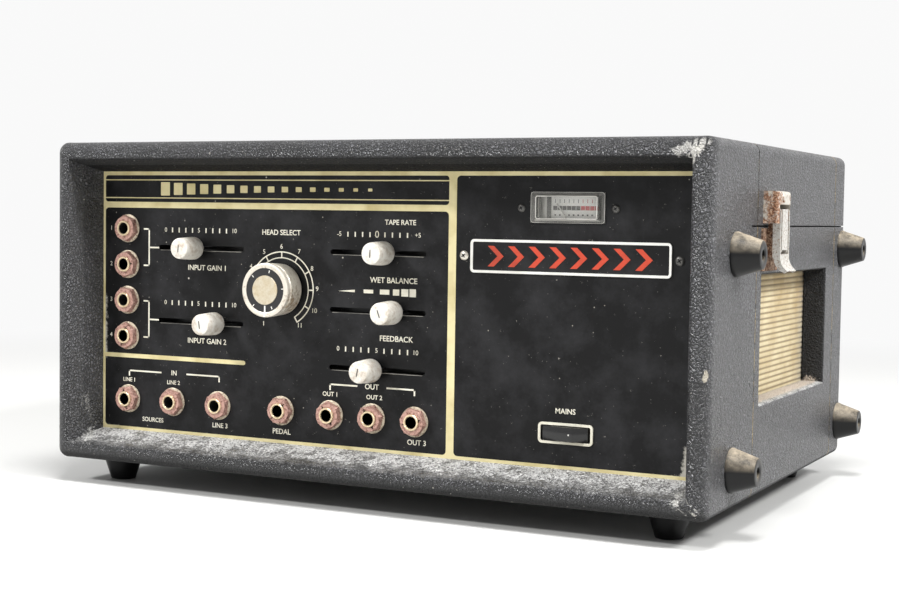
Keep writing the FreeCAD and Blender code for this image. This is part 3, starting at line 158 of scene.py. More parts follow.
def scuffed(tree, colour, place, ragged, whole, scuffs):
    """The colour with ragged scuffs. Each has two ends in case millimetres, its reach, how
    solid it is, and the colour that it bares. Whole is where noise and nearness bare it all."""
    for first, last, reach, solid, under in scuffs:
        near = near_line(tree, place, first, last, reach)
        torn = add(tree, "Math", {0: near, 1: solid, 2: ragged}, operation="MULTIPLY_ADD")
        torn = add(tree, "MapRange", {"Value": torn, "From Min": 0.66, "From Max": whole})
        colour = add(tree, "Mix", {0: torn, 6: colour, 7: under}, data_type="RGBA")
    return colour


def glued_seams(tree, colour, level, cloud):
    """The colour with a dark band of painted shade along where two strips meet, and in places a
    cream line of glue.
    """
    broken = add(tree, "MapRange", {"Value": cloud, "From Min": 0.42, "From Max": 0.56})
    for seam in (SEAM, REAR_SEAM):
        away = add(tree, "Math", {0: level.outputs["Y"], 1: (seam + FRONT_Y) / 1000},
                   operation="SUBTRACT")
        away = add(tree, "Math", {0: away}, operation="ABSOLUTE")
        # painted shade: a dark band along the seam
        gap = add(tree, "MapRange", {"Value": away, "From Min": 0.0014,
                                     "From Max": 0.0008, "To Max": 0.8})
        colour = add(tree, "Mix", {0: gap, 6: colour, 7: "#060606"}, data_type="RGBA")
        line = add(tree, "MapRange", {"Value": away, "From Min": 0.0007, "From Max": 0.0003})
        line = add(tree, "Math", {0: line, 1: broken}, operation="MULTIPLY")
        colour = add(tree, "Mix", {0: line, 6: colour, 7: "#c4b086"}, data_type="RGBA")
    return colour


def worn_corners(tree, colour, place, shifted):
    """The colour with backing bared at the corners, fibres along a mitre and dust on the vent's
    sill, all with edges that follow the shifted grain, and fine cracks at the torn corner."""
    ragged = add(tree, "TexNoise", {"Vector": place, "Scale": 1000 / 1.7, "Detail": 7,
                                    "Roughness": 0.8})
    wear = [((184, 1, 180), (197, 3, 185), 5, 0.42, "#a5a39f"),
            ((189, 1, 174), (194, 1, 182), 4.5, 0.42, "#c6c3bd"),
            ((187, 3, 13), (199, 2, 2), 1.6, 0.34, "#c4c1ba"),
            ((188, 1, 16), (199, 3, 5), 1.3, 0.3, "#a9a7a2"),
            ((187, 1, 8), (195, 2, 2), 1.3, 0.3, "#b9b6b0"),
            ((186, 22, 13), (186, 3, 10), 5, 0.4, "#c9c7c2"),
            ((-187, 22, 15), (-178, 8, 11), 8, 0.32, "#c3c2be"),
            ((-187, 21, 20), (-187, 14, 36), 6, 0.28, "#9d9c99"),
            ((193, 90, 49), (193, 226, 49), 8, 0.6, "#dccfc2"),
            ((198.5, 4, 71), (199, 4, 74), 2.0, 0.7, "#b3ab9b")]
    black = "#050506"
    splits = (188.5, 191.5, 195.5)
    cracks = [((x, 0, 174), (x + 0.6, 1.3, 182), 0.9, 0.6, black) for x in splits]
    cracks += [((x + 0.6, 1.3, 182), (x, 6, 187), 0.9, 0.6, black) for x in splits]
    cracks += [((182, 1, 183), (187, 3, 185.5), 0.9, 0.6, black),
               ((190, 4, 186), (200, 8, 186), 0.9, 0.6, black),
               ((188, 1, 12), (197, 2, 5), 0.7, 0.6, black)]
    colour = scuffed(tree, colour, shifted, ragged, 0.76, wear)
    return scuffed(tree, colour, place, ragged, 0.76, cracks)


def bare_wood(tree, colour, place, level):
    """The colour, with bare wood on the ledge and the battens inside the box."""
    # a little more than the wall, in metres
    skin = 0.0132
    half = (CASE_HALF / 1000 - skin, CASE_DEPTH / 2000 - skin, CASE_TOP / 2000 - skin)
    centre = CASE @ Vector((0, CASE_DEPTH / 2 + 2, CASE_TOP / 2))
    inward = add(tree, "VectorMath", {0: place, 1: centre}, operation="SUBTRACT")
    inward = add(tree, "VectorMath", {0: inward}, operation="ABSOLUTE")
    inward = add(tree, "VectorMath", {0: inward, 1: half}, operation="SUBTRACT")
    inward = add(tree, "SeparateXYZ", {0: inward})
    most = add(tree, "Math", {0: inward.outputs["X"], 1: inward.outputs["Y"]},
               operation="MAXIMUM")
    most = add(tree, "Math", {0: most, 1: inward.outputs["Z"]}, operation="MAXIMUM")
    past_panel = add(tree, "Math", {0: level.outputs["Y"], 1: (30 + FRONT_Y) / 1000},
                     operation="GREATER_THAN")
    inside = add(tree, "Math", {0: most, 1: 0.0}, operation="LESS_THAN")
    inside = add(tree, "Math", {0: inside, 1: past_panel}, operation="MULTIPLY")
    stretched = add(tree, "Mapping", {"Vector": place, "Scale": (1000 / 60, 1000 / 3, 1000 / 3)})
    grain = add(tree, "TexNoise", {"Vector": stretched, "Scale": 1, "Detail": 5})
    wood = add(tree, "Mix", {0: grain, 6: "#7d5f3d", 7: "#b8945f"}, data_type="RGBA")
    return add(tree, "Mix", {0: inside, 6: colour, 7: wood}, data_type="RGBA")


def leathercloth(name, dust, gloss=0.65):
    """PVC leathercloth over plywood: a crinkled grain about 1.8 mm across that breaks the gloss
    into sparks, grey where it is rubbed, painted lighter on the sides as a painted sheen, dusty
    where it faces up, with scuffed corners. Where it faces down, and on the vent's rear wall, it is
    left unrubbed and dark as painted shade."""
    material, tree, shader, place, facing = start(name, "#1c1c1f", 0.36)
    shader.inputs["Specular IOR Level"].default_value = gloss
    wander = add(tree, "TexNoise", {"Vector": place, "Scale": 1000 / 2.6, "Detail": 3})
    shifted = add(tree, "VectorMath", {0: wander.outputs["Color"], 1: (0.0027,) * 3, 2: place},
                  operation="MULTIPLY_ADD")
    pebbles = add(tree, "TexVoronoi", {"Vector": shifted, "Scale": 1000 / 1.8},
                  feature="DISTANCE_TO_EDGE")
    pebble = add(tree, "MapRange", {"Value": pebbles, "From Max": 0.32},
                 interpolation_type="SMOOTHSTEP")
    swell = add(tree, "TexNoise", {"Vector": place, "Scale": 1000 / 3, "Detail": 5})
    relief = add(tree, "Math", {0: swell, 1: 1.6, 2: pebble}, operation="MULTIPLY_ADD")
    patches = add(tree, "TexNoise", {"Vector": place, "Scale": 1000 / 60, "Detail": 6})
    worn = add(tree, "MapRange", {"Value": patches, "From Min": 0.35, "From Max": 0.7,
                                  "To Min": 0.25, "To Max": 0.85})
    level = add(tree, "SeparateXYZ", {0: place})
    turned = add(tree, "SeparateXYZ", {0: facing})
    up = turned.outputs["Z"]
    # painted shade: faces turned down lose the rubbed grey and stay dark
    wear_outside_painted_shade = add(tree, "MapRange", {"Value": up, "From Min": -0.6, "From Max": -0.1})
    # the vent's rear wall faces forward, past the vent's front edge, and like the faces turned down
    # it stays unrubbed and dark, a painted shade
    past_front = add(tree, "Math", {0: level.outputs["Y"], 1: (100 + FRONT_Y) / 1000},
                     operation="GREATER_THAN")
    frontal = add(tree, "Math", {0: turned.outputs["Y"], 1: -0.5}, operation="LESS_THAN")
    vent_wall_painted_shade = add(tree, "Math", {0: past_front, 1: frontal}, operation="MULTIPLY")
    wear_outside_painted_shade = add(tree, "Math", {0: wear_outside_painted_shade, 1: vent_wall_painted_shade}, operation="SUBTRACT")
    wear_outside_painted_shade = add(tree, "Clamp", {0: wear_outside_painted_shade})
    rubbed = add(tree, "Math", {0: worn, 1: pebble}, operation="MULTIPLY")
    rubbed = add(tree, "Math", {0: rubbed, 1: wear_outside_painted_shade}, operation="MULTIPLY")
    colour = add(tree, "Mix", {0: rubbed, 6: "#08080a", 7: "#4e4e53"}, data_type="RGBA")
    # painted sheen: faces turned to the sides are mixed towards grey, standing in for the gloss
    # reflection seen there
    across = add(tree, "Math", {0: turned.outputs["X"]}, operation="ABSOLUTE")
    haze_and_painted_sheen = add(tree, "MapRange", {"Value": across, "From Min": 0.6, "From Max": 0.98,
                                  "To Max": 0.5})
    thick = add(tree, "MapRange", {"Value": rubbed, "To Min": 0.25, "To Max": 1.0})
    haze_and_painted_sheen = add(tree, "Math", {0: haze_and_painted_sheen, 1: thick}, operation="MULTIPLY")
    colour = add(tree, "Mix", {0: haze_and_painted_sheen, 6: colour, 7: "#929295"}, data_type="RGBA")

    # dust lies in the grain where the cloth faces up, thickest low and deep in the recess
    lying = add(tree, "MapRange", {"Value": up, "From Min": 0.15, "From Max": 0.9})
    low = add(tree, "MapRange", {"Value": level.outputs["Z"], "From Min": 0.085,
                                 "From Max": 0.06, "To Min": 0.1, "To Max": 1.0})
    deep = add(tree, "MapRange", {"Value": level.outputs["Y"], "From Min": -0.14,
                                  "From Max": -0.119, "To Min": 0.12, "To Max": 1.0})
    cloud = add(tree, "TexNoise", {"Vector": place, "Scale": 1000 / 9, "Detail": 9,
                                   "Roughness": 0.72})
    drift = add(tree, "MapRange", {"Value": cloud, "From Min": 0.4,
                                   "From Max": 0.6, "To Min": 0.22})
    powder = add(tree, "TexNoise", {"Vector": place, "Scale": 1000 / 1.3,
                                    "Detail": 4, "Roughness": 0.7})
    powder = add(tree, "MapRange", {"Value": powder, "From Min": 0.42,
                                    "From Max": 0.56, "To Min": 0.15})
    hollows = add(tree, "MapRange", {"Value": pebble, "To Min": 1.0, "To Max": 0.55})
    film = dust * 3.6
    for share in (lying, low, deep, drift, powder, hollows):
        film = add(tree, "Math", {0: share, 1: film}, operation="MULTIPLY")
    film = add(tree, "Clamp", {0: film})
    colour = add(tree, "Mix", {0: film, 6: colour, 7: "#d4d3d1"}, data_type="RGBA")
    crumb = "#b8b4ab"
    colour = specked(tree, colour, place, ((3.2, 0.3, 0.6, crumb), (11, 0.6, 0.6, crumb)))
    colour = glued_seams(tree, colour, level, cloud)
    colour = worn_corners(tree, colour, place, shifted)
    colour = bare_wood(tree, colour, place, level)

    rough = add(tree, "MapRange", {"Value": patches, "From Min": 0.3,
                                   "From Max": 0.7, "To Min": 0.24, "To Max": 0.4})
    rough = add(tree, "Math", {0: film, 1: 0.5, 2: rough}, operation="MULTIPLY_ADD")
    dull = add(tree, "MapRange", {"Value": wear_outside_painted_shade, "To Min": 0.85, "To Max": 0.0})
    rough = add(tree, "Math", {0: rough, 1: dull}, operation="MAXIMUM")
    bump = add(tree, "Bump", {"Height": relief, "Strength": 1.0, "Distance": 0.0011})
    finish(tree, shader, Base_Color=colour, Roughness=rough, Normal=bump)
    return material


def enamelled_panel():
    """Stoved black enamel on sheet metal: nearly matt, with faint brush lines of 0.6 mm under
    it, rubbed patches, and pale dust that gathers at the edges."""
    material, tree, shader, place, _ = start("stoved_black_enamel", "#0b0b0c", 0.5)
    shader.inputs["Specular IOR Level"].default_value = 0.22
    stretched = add(tree, "Mapping", {"Vector": place, "Scale": (1000 / 40, 1, 1000 / 0.6)})
    brushed = add(tree, "TexNoise", {"Vector": stretched, "Scale": 1, "Detail": 3})
    clouds = add(tree, "TexNoise", {"Vector": place, "Scale": 1000 / 30, "Detail": 9,
                                    "Roughness": 0.68})
    haze_and_painted_sheen = add(tree, "MapRange", {"Value": clouds, "From Min": 0.44, "From Max": 0.72})
    colour = add(tree, "Mix", {0: haze_and_painted_sheen, 6: "#050506", 7: "#2a2a2c"}, data_type="RGBA")
    colour = specked(tree, colour, place, (
        (2.2, 0.24, 0.78, "#6f6d68"), (6, 0.42, 0.8, "#a09c92"), (17, 0.7, 0.75, "#c9c5ba")))
    ragged = add(tree, "TexNoise", {"Vector": place, "Scale": 1000 / 3, "Detail": 8,
                                    "Roughness": 0.75})
    powder = "#b4b0a6"
    colour = scuffed(tree, colour, place, ragged, 0.8, (
        ((166, PANEL, 15), (186, PANEL, 15), 5, 0.36, powder),
        ((181, PANEL, 16), (183, PANEL, 30), 5, 0.4, powder),
        ((-184, PANEL, 17), (-60, PANEL, 16), 3, 0.3, powder),
        ((-182, PANEL, 95), (-182, PANEL, 60), 3, 0.3, powder)))
    rough = add(tree, "MapRange", {"Value": clouds, "From Min": 0.3, "From Max": 0.7,
                                   "To Min": 0.4, "To Max": 0.62})
    bump = add(tree, "Bump", {"Height": brushed, "Strength": 0.08, "Distance": 0.0001})
    finish(tree, shader, Base_Color=colour, Roughness=rough, Normal=bump)
    return material


def screen_ink(name, colour, faded):
    """Screen printing ink: opaque and matt, fading unevenly over a centimetre or two."""
    material, tree, shader, place, _ = start(name, colour, 0.6)
    tone = add(tree, "TexNoise", {"Vector": place, "Scale": 1000 / 14, "Detail": 7})
    shade = add(tree, "MapRange", {"Value": tone, "From Min": 0.42, "From Max": 0.75})
    colour = add(tree, "Mix", {0: shade, 6: colour, 7: faded}, data_type="RGBA")
    finish(tree, shader, Base_Color=colour)
    return material


def worn_metal(name, colour, stain, roughness, metallic=1.0, patch=3.0, clean=0.55,
               stain_metallic=0.4, grime=None, pits=None, soft=0.16):
    """Bare or plated metal, handled for years: stains in irregular patches a few millimetres
    across, rougher and duller than the clean surface, and hair scratches. Grime is a line
    that the stains gather along, as near_line takes it, and how strongly they do. Pits are
    the two colours of the crust that breaks up a stain, and soft is how gradually it starts."""
    material, tree, shader, place, _ = start(name, colour, roughness, metallic)
    cloud = add(tree, "TexNoise", {"Vector": place, "Scale": 1000 / patch,
                                   "Detail": 8, "Roughness": 0.7})
    amount = cloud
    if grime:
        first, last, reach, strength = grime
        amount = add(tree, "Math", {0: near_line(tree, place, first, last, reach),
                                    1: strength, 2: cloud},
                     operation="MULTIPLY_ADD")
    mask = add(tree, "MapRange", {"Value": amount, "From Min": clean - 0.06,
                                  "From Max": clean - 0.06 + soft})
    crust = add(tree, "TexNoise", {"Vector": place, "Scale": 1000 / 0.9, "Detail": 5,
                                   "Roughness": 0.75})
    for shade, low, high in zip(pits or (), (0.54, 0.46), (0.6, 0.4)):
        part = add(tree, "MapRange", {"Value": crust, "From Min": low, "From Max": high})
        stain = add(tree, "Mix", {0: part, 6: stain, 7: shade}, data_type="RGBA")
    colour = add(tree, "Mix", {0: mask, 6: colour, 7: stain}, data_type="RGBA")
    rough = add(tree, "MapRange", {"Value": mask, "To Min": roughness,
                                   "To Max": min(0.9, roughness + 0.35)})
    shine = add(tree, "MapRange", {"Value": mask, "To Min": metallic, "To Max": stain_metallic})
    scratches = add(tree, "TexNoise", {"Vector": place, "Scale": 1000 / 0.6, "Detail": 3})
    height = add(tree, "Math", {0: cloud, 1: 0.6, 2: scratches}, operation="MULTIPLY_ADD")
    bump = add(tree, "Bump", {"Height": height, "Strength": 0.3, "Distance": 0.00008})
    finish(tree, shader, Base_Color=colour, Roughness=rough, Metallic=shine, Normal=bump)
    return material


def moulded(name, colour, dusty, roughness, dust=0.5, grain=0.6, specular=0.5):
    """Moulded plastic or rubber: even colour, a fine moulded grain, and dust on what faces
    up, thinning round the sides."""
    material, tree, shader, place, facing = start(name, colour, roughness)
    shader.inputs["Specular IOR Level"].default_value = specular
    up = add(tree, "SeparateXYZ", {0: facing}).outputs["Z"]
    lying = add(tree, "MapRange", {"Value": up, "From Min": 0.05, "From Max": 0.95})
    cloud = add(tree, "TexNoise", {"Vector": place, "Scale": 1000 / 7, "Detail": 9,
                                   "Roughness": 0.75})
    drift = add(tree, "MapRange", {"Value": cloud, "From Min": 0.35,
                                   "From Max": 0.62, "To Min": 0.1})
    film = add(tree, "Math", {0: lying, 1: drift}, operation="MULTIPLY")
    film = add(tree, "Math", {0: film, 1: dust}, operation="MULTIPLY")
    colour = add(tree, "Mix", {0: film, 6: colour, 7: dusty}, data_type="RGBA")
    rough = add(tree, "MapRange", {"Value": film, "To Min": roughness, "To Max": 0.9})
    texture = add(tree, "TexNoise", {"Vector": place, "Scale": 1000 / grain, "Detail": 3})
    bump = add(tree, "Bump", {"Height": texture, "Strength": 0.25, "Distance": 0.0001})
    finish(tree, shader, Base_Color=colour, Roughness=rough, Normal=bump)
    return material


def clear_styrene():
    """Clear moulded polystyrene, thin enough to see the dial through, with a sharp gloss, a painted
    reflection that makes its pale colour more opaque towards a slanting view, and a film of dust in
    places."""
    material, tree, shader, place, _ = start("clear_polystyrene", "#e4e2da", 0.08)
    shader.inputs["IOR"].default_value = 1.59
    film = add(tree, "TexNoise", {"Vector": place, "Scale": 1000 / 5, "Detail": 6})
    rough = add(tree, "MapRange", {"Value": film, "From Min": 0.4, "From Max": 0.8,
                                   "To Min": 0.04, "To Max": 0.25})
    # painted reflection: the pale colour turns opaque where the surface is seen at a slant
    edge = add(tree, "LayerWeight", {"Blend": 0.35})
    seen = add(tree, "MapRange", {"Value": edge.outputs["Facing"], "To Min": 0.04, "To Max": 0.8})
    finish(tree, shader, Roughness=rough, Alpha=seen)
    return material


def grille_weave():
    """Woven grille cloth: soft cream ribs, painted shade in tan in the valleys between them, with a
    dark gap every 1.3 mm along each valley where the warp passes, and the upper rows toned darker
    as painted shade."""
    material, tree, shader, place, _ = start("woven_grille_cloth", "#e6d7ab", 0.85)
    shader.inputs["Sheen Weight"].default_value = 0.15
    spot = add(tree, "SeparateXYZ", {0: place})
    turns = add(tree, "Math", {0: spot.outputs["Y"], 1: 2 * math.pi / 0.0013},
                operation="MULTIPLY")
    thread = add(tree, "Math", {0: turns}, operation="SINE")
    rise = add(tree, "Math", {0: spot.outputs["Z"], 1: (RIB_START + FOOT_HEIGHT) / 1000},
               operation="SUBTRACT")
    rise = add(tree, "Math", {0: rise, 1: 2000 * math.pi / RIB_PITCH}, operation="MULTIPLY")
    ribs = add(tree, "Math", {0: rise}, operation="COSINE")
    # painted shade: the valleys between the ribs are darkened to tan
    valley_painted_shade = add(tree, "MapRange", {"Value": ribs, "From Min": 0.3,
                                    "From Max": -1.0, "To Max": 0.8})
    bottom = add(tree, "MapRange", {"Value": ribs, "From Min": -0.5, "From Max": -0.8})
    gap = add(tree, "MapRange", {"Value": thread, "From Min": -0.2,
                                 "From Max": 0.5, "To Max": 0.85})
    hole = add(tree, "Math", {0: bottom, 1: gap}, operation="MULTIPLY")
    age_and_painted_top_shade = add(tree, "TexNoise", {"Vector": place, "Scale": 1000 / 25, "Detail": 6})
    # painted shade: the upper rows are toned darker, under the vent's upper edge
    painted_top_shade = add(tree, "MapRange", {"Value": spot.outputs["Z"], "From Min": 0.09,
                                    "From Max": 0.135, "To Max": 0.2})
    age_and_painted_top_shade = add(tree, "Math", {0: age_and_painted_top_shade, 1: painted_top_shade}, operation="ADD")
    tone = add(tree, "MapRange", {"Value": age_and_painted_top_shade, "From Min": 0.35, "From Max": 0.7})
    colour = add(tree, "Mix", {0: tone, 6: "#d6caa8", 7: "#b39b6e"}, data_type="RGBA")
    colour = add(tree, "Mix", {0: valley_painted_shade, 6: colour, 7: "#947e55"}, data_type="RGBA")
    colour = add(tree, "Mix", {0: hole, 6: colour, 7: "#2e2415"}, data_type="RGBA")
    bump = add(tree, "Bump", {"Height": thread, "Strength": 0.5, "Distance": 0.0002})
    finish(tree, shader, Base_Color=colour, Normal=bump)
    return material


VINYL = leathercloth("embossed_pvc_leathercloth", 1.0)
MOULDING = leathercloth("leathercloth_on_moulding", 1.0, 0.35)
GRIP = leathercloth("leathercloth_grip", 0.4)
PANEL_BLACK = enamelled_panel()
GOLD_INK = screen_ink("gold_screen_ink", "#e2d6a6", "#c2b27c")
CREAM_INK = screen_ink("cream_screen_ink", "#ece8d8", "#c2bca8")
WHITE_INK = screen_ink("white_frame_ink", "#f4f3ee", "#d9d6cd")
ORANGE_INK = screen_ink("orange_red_ink", "#cf4629", "#9c3520")
RED_INK = screen_ink("red_dial_ink", "#b8333a", "#8e2a2e")
WORN_EDGE = screen_ink("bare_edge_of_the_sheet", "#8d8a82", "#242424")
BLACK_INK = screen_ink("black_dial_ink", "#2a2a2b", "#474747")
DIAL_CARD = screen_ink("white_dial_card", "#f2f2ee", "#d4d4ce")
COPPERED = worn_metal("worn_copper_plated_nut", "#bd968a", "#7d5a4e", 0.48, 0.35, 1.6, 0.54)
NICKEL = worn_metal("tarnished_nickel", "#dcd7cc", "#8a7f70", 0.32, 0.8, 1.5, 0.56)
WASHER = worn_metal("dull_plated_washer", "#c4b8a4", "#7d6c58", 0.5, 0.5, 1.5, 0.54)
BRASS = worn_metal("turned_brass", "#e8d3b0", "#94794f", 0.32, 0.7, 2.0, 0.6)
TARNISHED = worn_metal("tarnished_brass", "#14100c", "#0a0806", 0.7, 0.3, 2.0, 0.5)
KNOB_SATIN = worn_metal("satin_cast_knob", "#eae6dd", "#a8937c", 0.42, 0.25, 4.5, 0.52, soft=0.3)
SPUN = worn_metal("spun_aluminium", "#d6cdb9", "#b8a57e", 0.3, 0.7, 4, 0.5, 0.6, soft=0.3)
SELECTOR_RIM = worn_metal("anodised_rim", "#dfd8cb", "#8a7150", 0.34, 0.35, 2.2, 0.6, 0.3,
                          ((-43, 14, 98), (-46, 22, 92), 10, 0.2), soft=0.24)
RUSTED = worn_metal("rusted_plate", "#9c8672", "#5a3826", 0.6, 0.4, 2.2, 0.44, 0.1,
                    pits=("#b99a7c", "#1d120c"))
CHROME = worn_metal("pitted_chrome", "#d3d1cb", "#8a6f58", 0.34, 0.55, 1.4, 0.55, 0.2,
                    pits=("#b6a189", "#33231a"))
HOOD_CHROME = worn_metal("rust_spotted_chrome", "#d6d1c6", "#84583d", 0.34, 0.55, 2.6, 0.57, 0.1,
                         ((206, 87, 163), (206, 88, 146), 10, 0.2),
                         ("#cfb498", "#1d110b"))
STEEL = worn_metal("zinc_plated_steel", "#b4b3ae", "#85817a", 0.38, 1.0, 11, 0.65)
DARK_SCREW = worn_metal("blackened_steel", "#5a5957", "#8a857a", 0.4, 0.9, 1.2, 0.6)
TURNED_STEEL = worn_metal("ground_steel", "#c4c4c2", "#97938c", 0.22, 1.0, 16, 0.7)
DECK_PAINT = moulded("hammered_grey_paint", "#3a3b3d", "#6e6a64", 0.45, 0.4, 3.5)
LAMINATION = worn_metal("silicon_steel_laminations", "#5f5d58", "#6b4c38", 0.5, 0.8, 14)
BLACK_ABS = moulded("moulded_black_abs", "#121213", "#7b766d", 0.35, 0.25)
GLOSS_ABS = moulded("polished_black_abs", "#0b0b0c", "#6d6860", 0.14, 0.15)
INLAY = moulded("black_knob_inlay", "#1d1d1f", "#5f5a52", 0.4, 0.25)
RUBBER = moulded("moulded_rubber", "#0b0b0c", "#bdb09b", 0.34, 0.9, 1.0, 0.28)
BELT_RUBBER = moulded("neoprene_belt", "#1c1b1a", "#4a4743", 0.6, 0.2)
FELT = moulded("black_wool_felt", "#0a0a0a", "#2a2826", 0.95, 0.2, 0.4, 0.1)
BOARD = moulded("phenolic_board", "#6b4a25", "#8a7a5a", 0.5, 0.4, 1.4)
SLEEVE = moulded("printed_pvc_sleeve", "#27405f", "#8a8a88", 0.35, 0.3)
TAPE = moulded("oxide_tape", "#4b2c1c", "#6e5c4c", 0.3, 0.1)
# painted highlight: a pale matt colour standing in for the light on the cover's polished edges
PAINTED_EDGE_HIGHLIGHT = screen_ink("painted_highlight_on_styrene_edge", "#dcdad4", "#8e8c86")
SMOKED_EDGE = screen_ink("moulded_styrene_rim", "#656461", "#3f3e3c")
CLEAR = clear_styrene()
CLOTH = grille_weave()


# Shapes

def slab(shape, x, y, z, round_off=0.0, steps=2, only=None, material=0):
    """Add a box between two limits on each axis, with its edges rounded. With only set to
    an axis, just the edges along it are rounded."""
    middle = Vector([(low + high) / 2 for low, high in (x, y, z)])
    spans = [high - low for low, high in (x, y, z)]
    matrix = Matrix.Translation(middle) @ Matrix.Diagonal((*spans, 1))
    verts = bmesh.ops.create_cube(shape, size=1, matrix=matrix)["verts"]
    faces = {face for vert in verts for face in vert.link_faces}
    for face in faces:
        face.material_index = material
    if round_off:
        edges = {edge for vert in verts for edge in vert.link_edges}
        if only is not None:
            edges = {edge for edge in edges
                     if abs((edge.verts[0].co - edge.verts[1].co).normalized()[only]) > 0.9}
        bmesh.ops.bevel(shape, geom=list(edges), offset=round_off, segments=steps,
                        profile=0.5, affect="EDGES", material=-1, clamp_overlap=True)


def lathe(shape, profile, centre, axis, steps=48, material=0):
    """Add a turned body: the profile's radius and height are spun round an axis."""
    along = Vector([1 if letter == axis else 0 for letter in "xyz"])
    outward = Vector((0, 0, 1)) if axis != "z" else Vector((1, 0, 0))
    centre = Vector(centre)
    verts = [shape.verts.new(centre + outward * radius + along * height)
             for radius, height in profile]
    edges = [shape.edges.new(pair) for pair in zip(verts, verts[1:])]
    before = set(shape.faces)
    bmesh.ops.spin(shape, geom=verts + edges, cent=centre, axis=along, angle=2 * math.pi,
                   steps=steps, use_merge=True, use_duplicate=False)
    new_faces = [face for face in shape.faces if face not in before]
    for face in new_faces:
        face.material_index = material
    new_verts = list({vert for face in new_faces for vert in face.verts})
    bmesh.ops.remove_doubles(shape, verts=new_verts, dist=0.001)


def outline(shape, points, axis, span, material=0):
    """Add a prism: an outline drawn across an axis and extruded along it."""
    place = "xyz".index(axis)
    verts = []
    for pair in points:
        spot = list(pair)
        spot.insert(place, span[0])
        verts.append(shape.verts.new(spot))
    face = shape.faces.new(verts)
    face.material_index = material
    depth = Vector([span[1] - span[0] if index == place else 0 for index in range(3)])
    made = bmesh.ops.extrude_face_region(shape, geom=[face], use_keep_orig=True)["geom"]
    moved = [item for item in made if isinstance(item, bmesh.types.BMVert)]
    bmesh.ops.translate(shape, verts=moved, vec=depth)
    for item in made:
        if isinstance(item, bmesh.types.BMFace):
            item.material_index = material


def piece(name, shape, materials, body, replaces=(), smooth=40):
    """Finish a shape drawn in case millimetres as a piece that rides on a body."""
    bmesh.ops.transform(shape, matrix=CASE, verts=shape.verts)
    bmesh.ops.recalc_face_normals(shape, faces=shape.faces)
    mesh = bpy.data.meshes.new(name)
    shape.to_mesh(mesh)
    shape.free()
    for material in materials if isinstance(materials, list) else [materials]:
        mesh.materials.append(material)
    mesh.shade_smooth()
    mesh.set_sharp_from_angle(angle=math.radians(smooth))
    made = bpy.data.objects.new(name, mesh)
    bpy.context.collection.objects.link(made)
    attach(made, body)
    if replaces:
        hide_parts(*replaces)
    return made


def lettering(shape, words, x, z, height, y=PANEL, weight=0.0):
    """Add words centred on a point of the panel, as a thin layer of ink."""
    curve = bpy.data.curves.new("words", "FONT")
    curve.body = words
    curve.size = height / 0.72
    curve.align_x = "CENTER"
    curve.align_y = "CENTER"
    curve.offset = weight
    curve.extrude = PRINT / 2
    curve.resolution_u = 4
    holder = bpy.data.objects.new("words", curve)
    mesh = bpy.data.meshes.new_from_object(holder)
    mesh.transform(Matrix.Translation((x, y - PRINT / 2, z)) @ Matrix.Rotation(math.pi / 2, 4, "X"))
    shape.from_mesh(mesh)
    bpy.data.objects.remove(holder)
    bpy.data.curves.remove(curve)
    bpy.data.meshes.remove(mesh)


def ink_bar(shape, x, z, round_off=0.0, rise=0.0):
    """Add a bar of ink on the panel, between two limits across and two up."""
    slab(shape, x, (PANEL - PRINT - rise, PANEL + 0.02), z, round_off, 4, only=1)


def stroke(shape, x, z, long, wide, degrees, y=(PANEL - PRINT - 0.02, PANEL), material=0):
    """Add a thin bar in the panel's plane, turned about its middle, anticlockwise from level."""
    matrix = (Matrix.Translation((x, (y[0] + y[1]) / 2, z))
              @ Matrix.Rotation(-math.radians(degrees), 4, "Y")
              @ Matrix.Diagonal((long, y[1] - y[0], wide, 1)))
    verts = bmesh.ops.create_cube(shape, size=1, matrix=matrix)["verts"]
    for face in {face for vert in verts for face in vert.link_faces}:
        face.material_index = material


def arc(shape, centre, inner, outer, begin, sweep):
    """Add an arc of ink between two radii, from an angle in degrees clockwise by a sweep."""
    middle = Vector((centre[0], PANEL - PRINT, centre[1]))
    way = Vector((math.cos(math.radians(begin)), 0, math.sin(math.radians(begin))))
    verts = [shape.verts.new(middle + way * radius) for radius in (inner, outer)]
    edge = shape.edges.new(verts)
    before = set(shape.faces)
    bmesh.ops.spin(shape, geom=verts + [edge], cent=middle, axis=(0, 1, 0),
                   angle=math.radians(sweep), steps=round(sweep / 5), use_duplicate=False)
    made = [face for face in shape.faces if face not in before]
    bmesh.ops.solidify(shape, geom=made, thickness=PRINT / 2)


def open_frame(shape, x, y, z, round_off, line, axis, material=0):
    """Add a rounded slab with a hole right through along an axis, leaving a line round it."""
    before = set(shape.faces)
    slab(shape, x, y, z, round_off, 5, only=axis, material=material)
    ends = [face for face in shape.faces
            if face not in before and abs(face.normal[axis]) > 0.9]
    bmesh.ops.inset_individual(shape, faces=ends, thickness=line, depth=0)
    loops = [edge for face in ends for edge in face.edges]
    bmesh.ops.delete(shape, geom=ends, context="FACES_ONLY")
    for face in bmesh.ops.bridge_loops(shape, edges=loops)["faces"]:
        face.material_index = material


# Panel print

def field(shape, x, z, round_off=0.0):
    """Add the outline of a rectangle on the panel, with its corners rounded."""
    matrix = (Matrix.Translation(((x[0] + x[1]) / 2, PANEL - PRINT, (z[0] + z[1]) / 2))
              @ Matrix.Rotation(math.pi / 2, 4, "X")
              @ Matrix.Diagonal((x[1] - x[0], z[1] - z[0], 1, 1)))
    corners = bmesh.ops.create_grid(shape, x_segments=1, y_segments=1, size=0.5,
                                    matrix=matrix)["verts"]
    if round_off:
        bmesh.ops.bevel(shape, geom=corners, offset=round_off, segments=5, profile=0.5,
                        affect="VERTICES", material=-1)
    bmesh.ops.delete(shape, geom=list(shape.faces), context="FACES_ONLY")


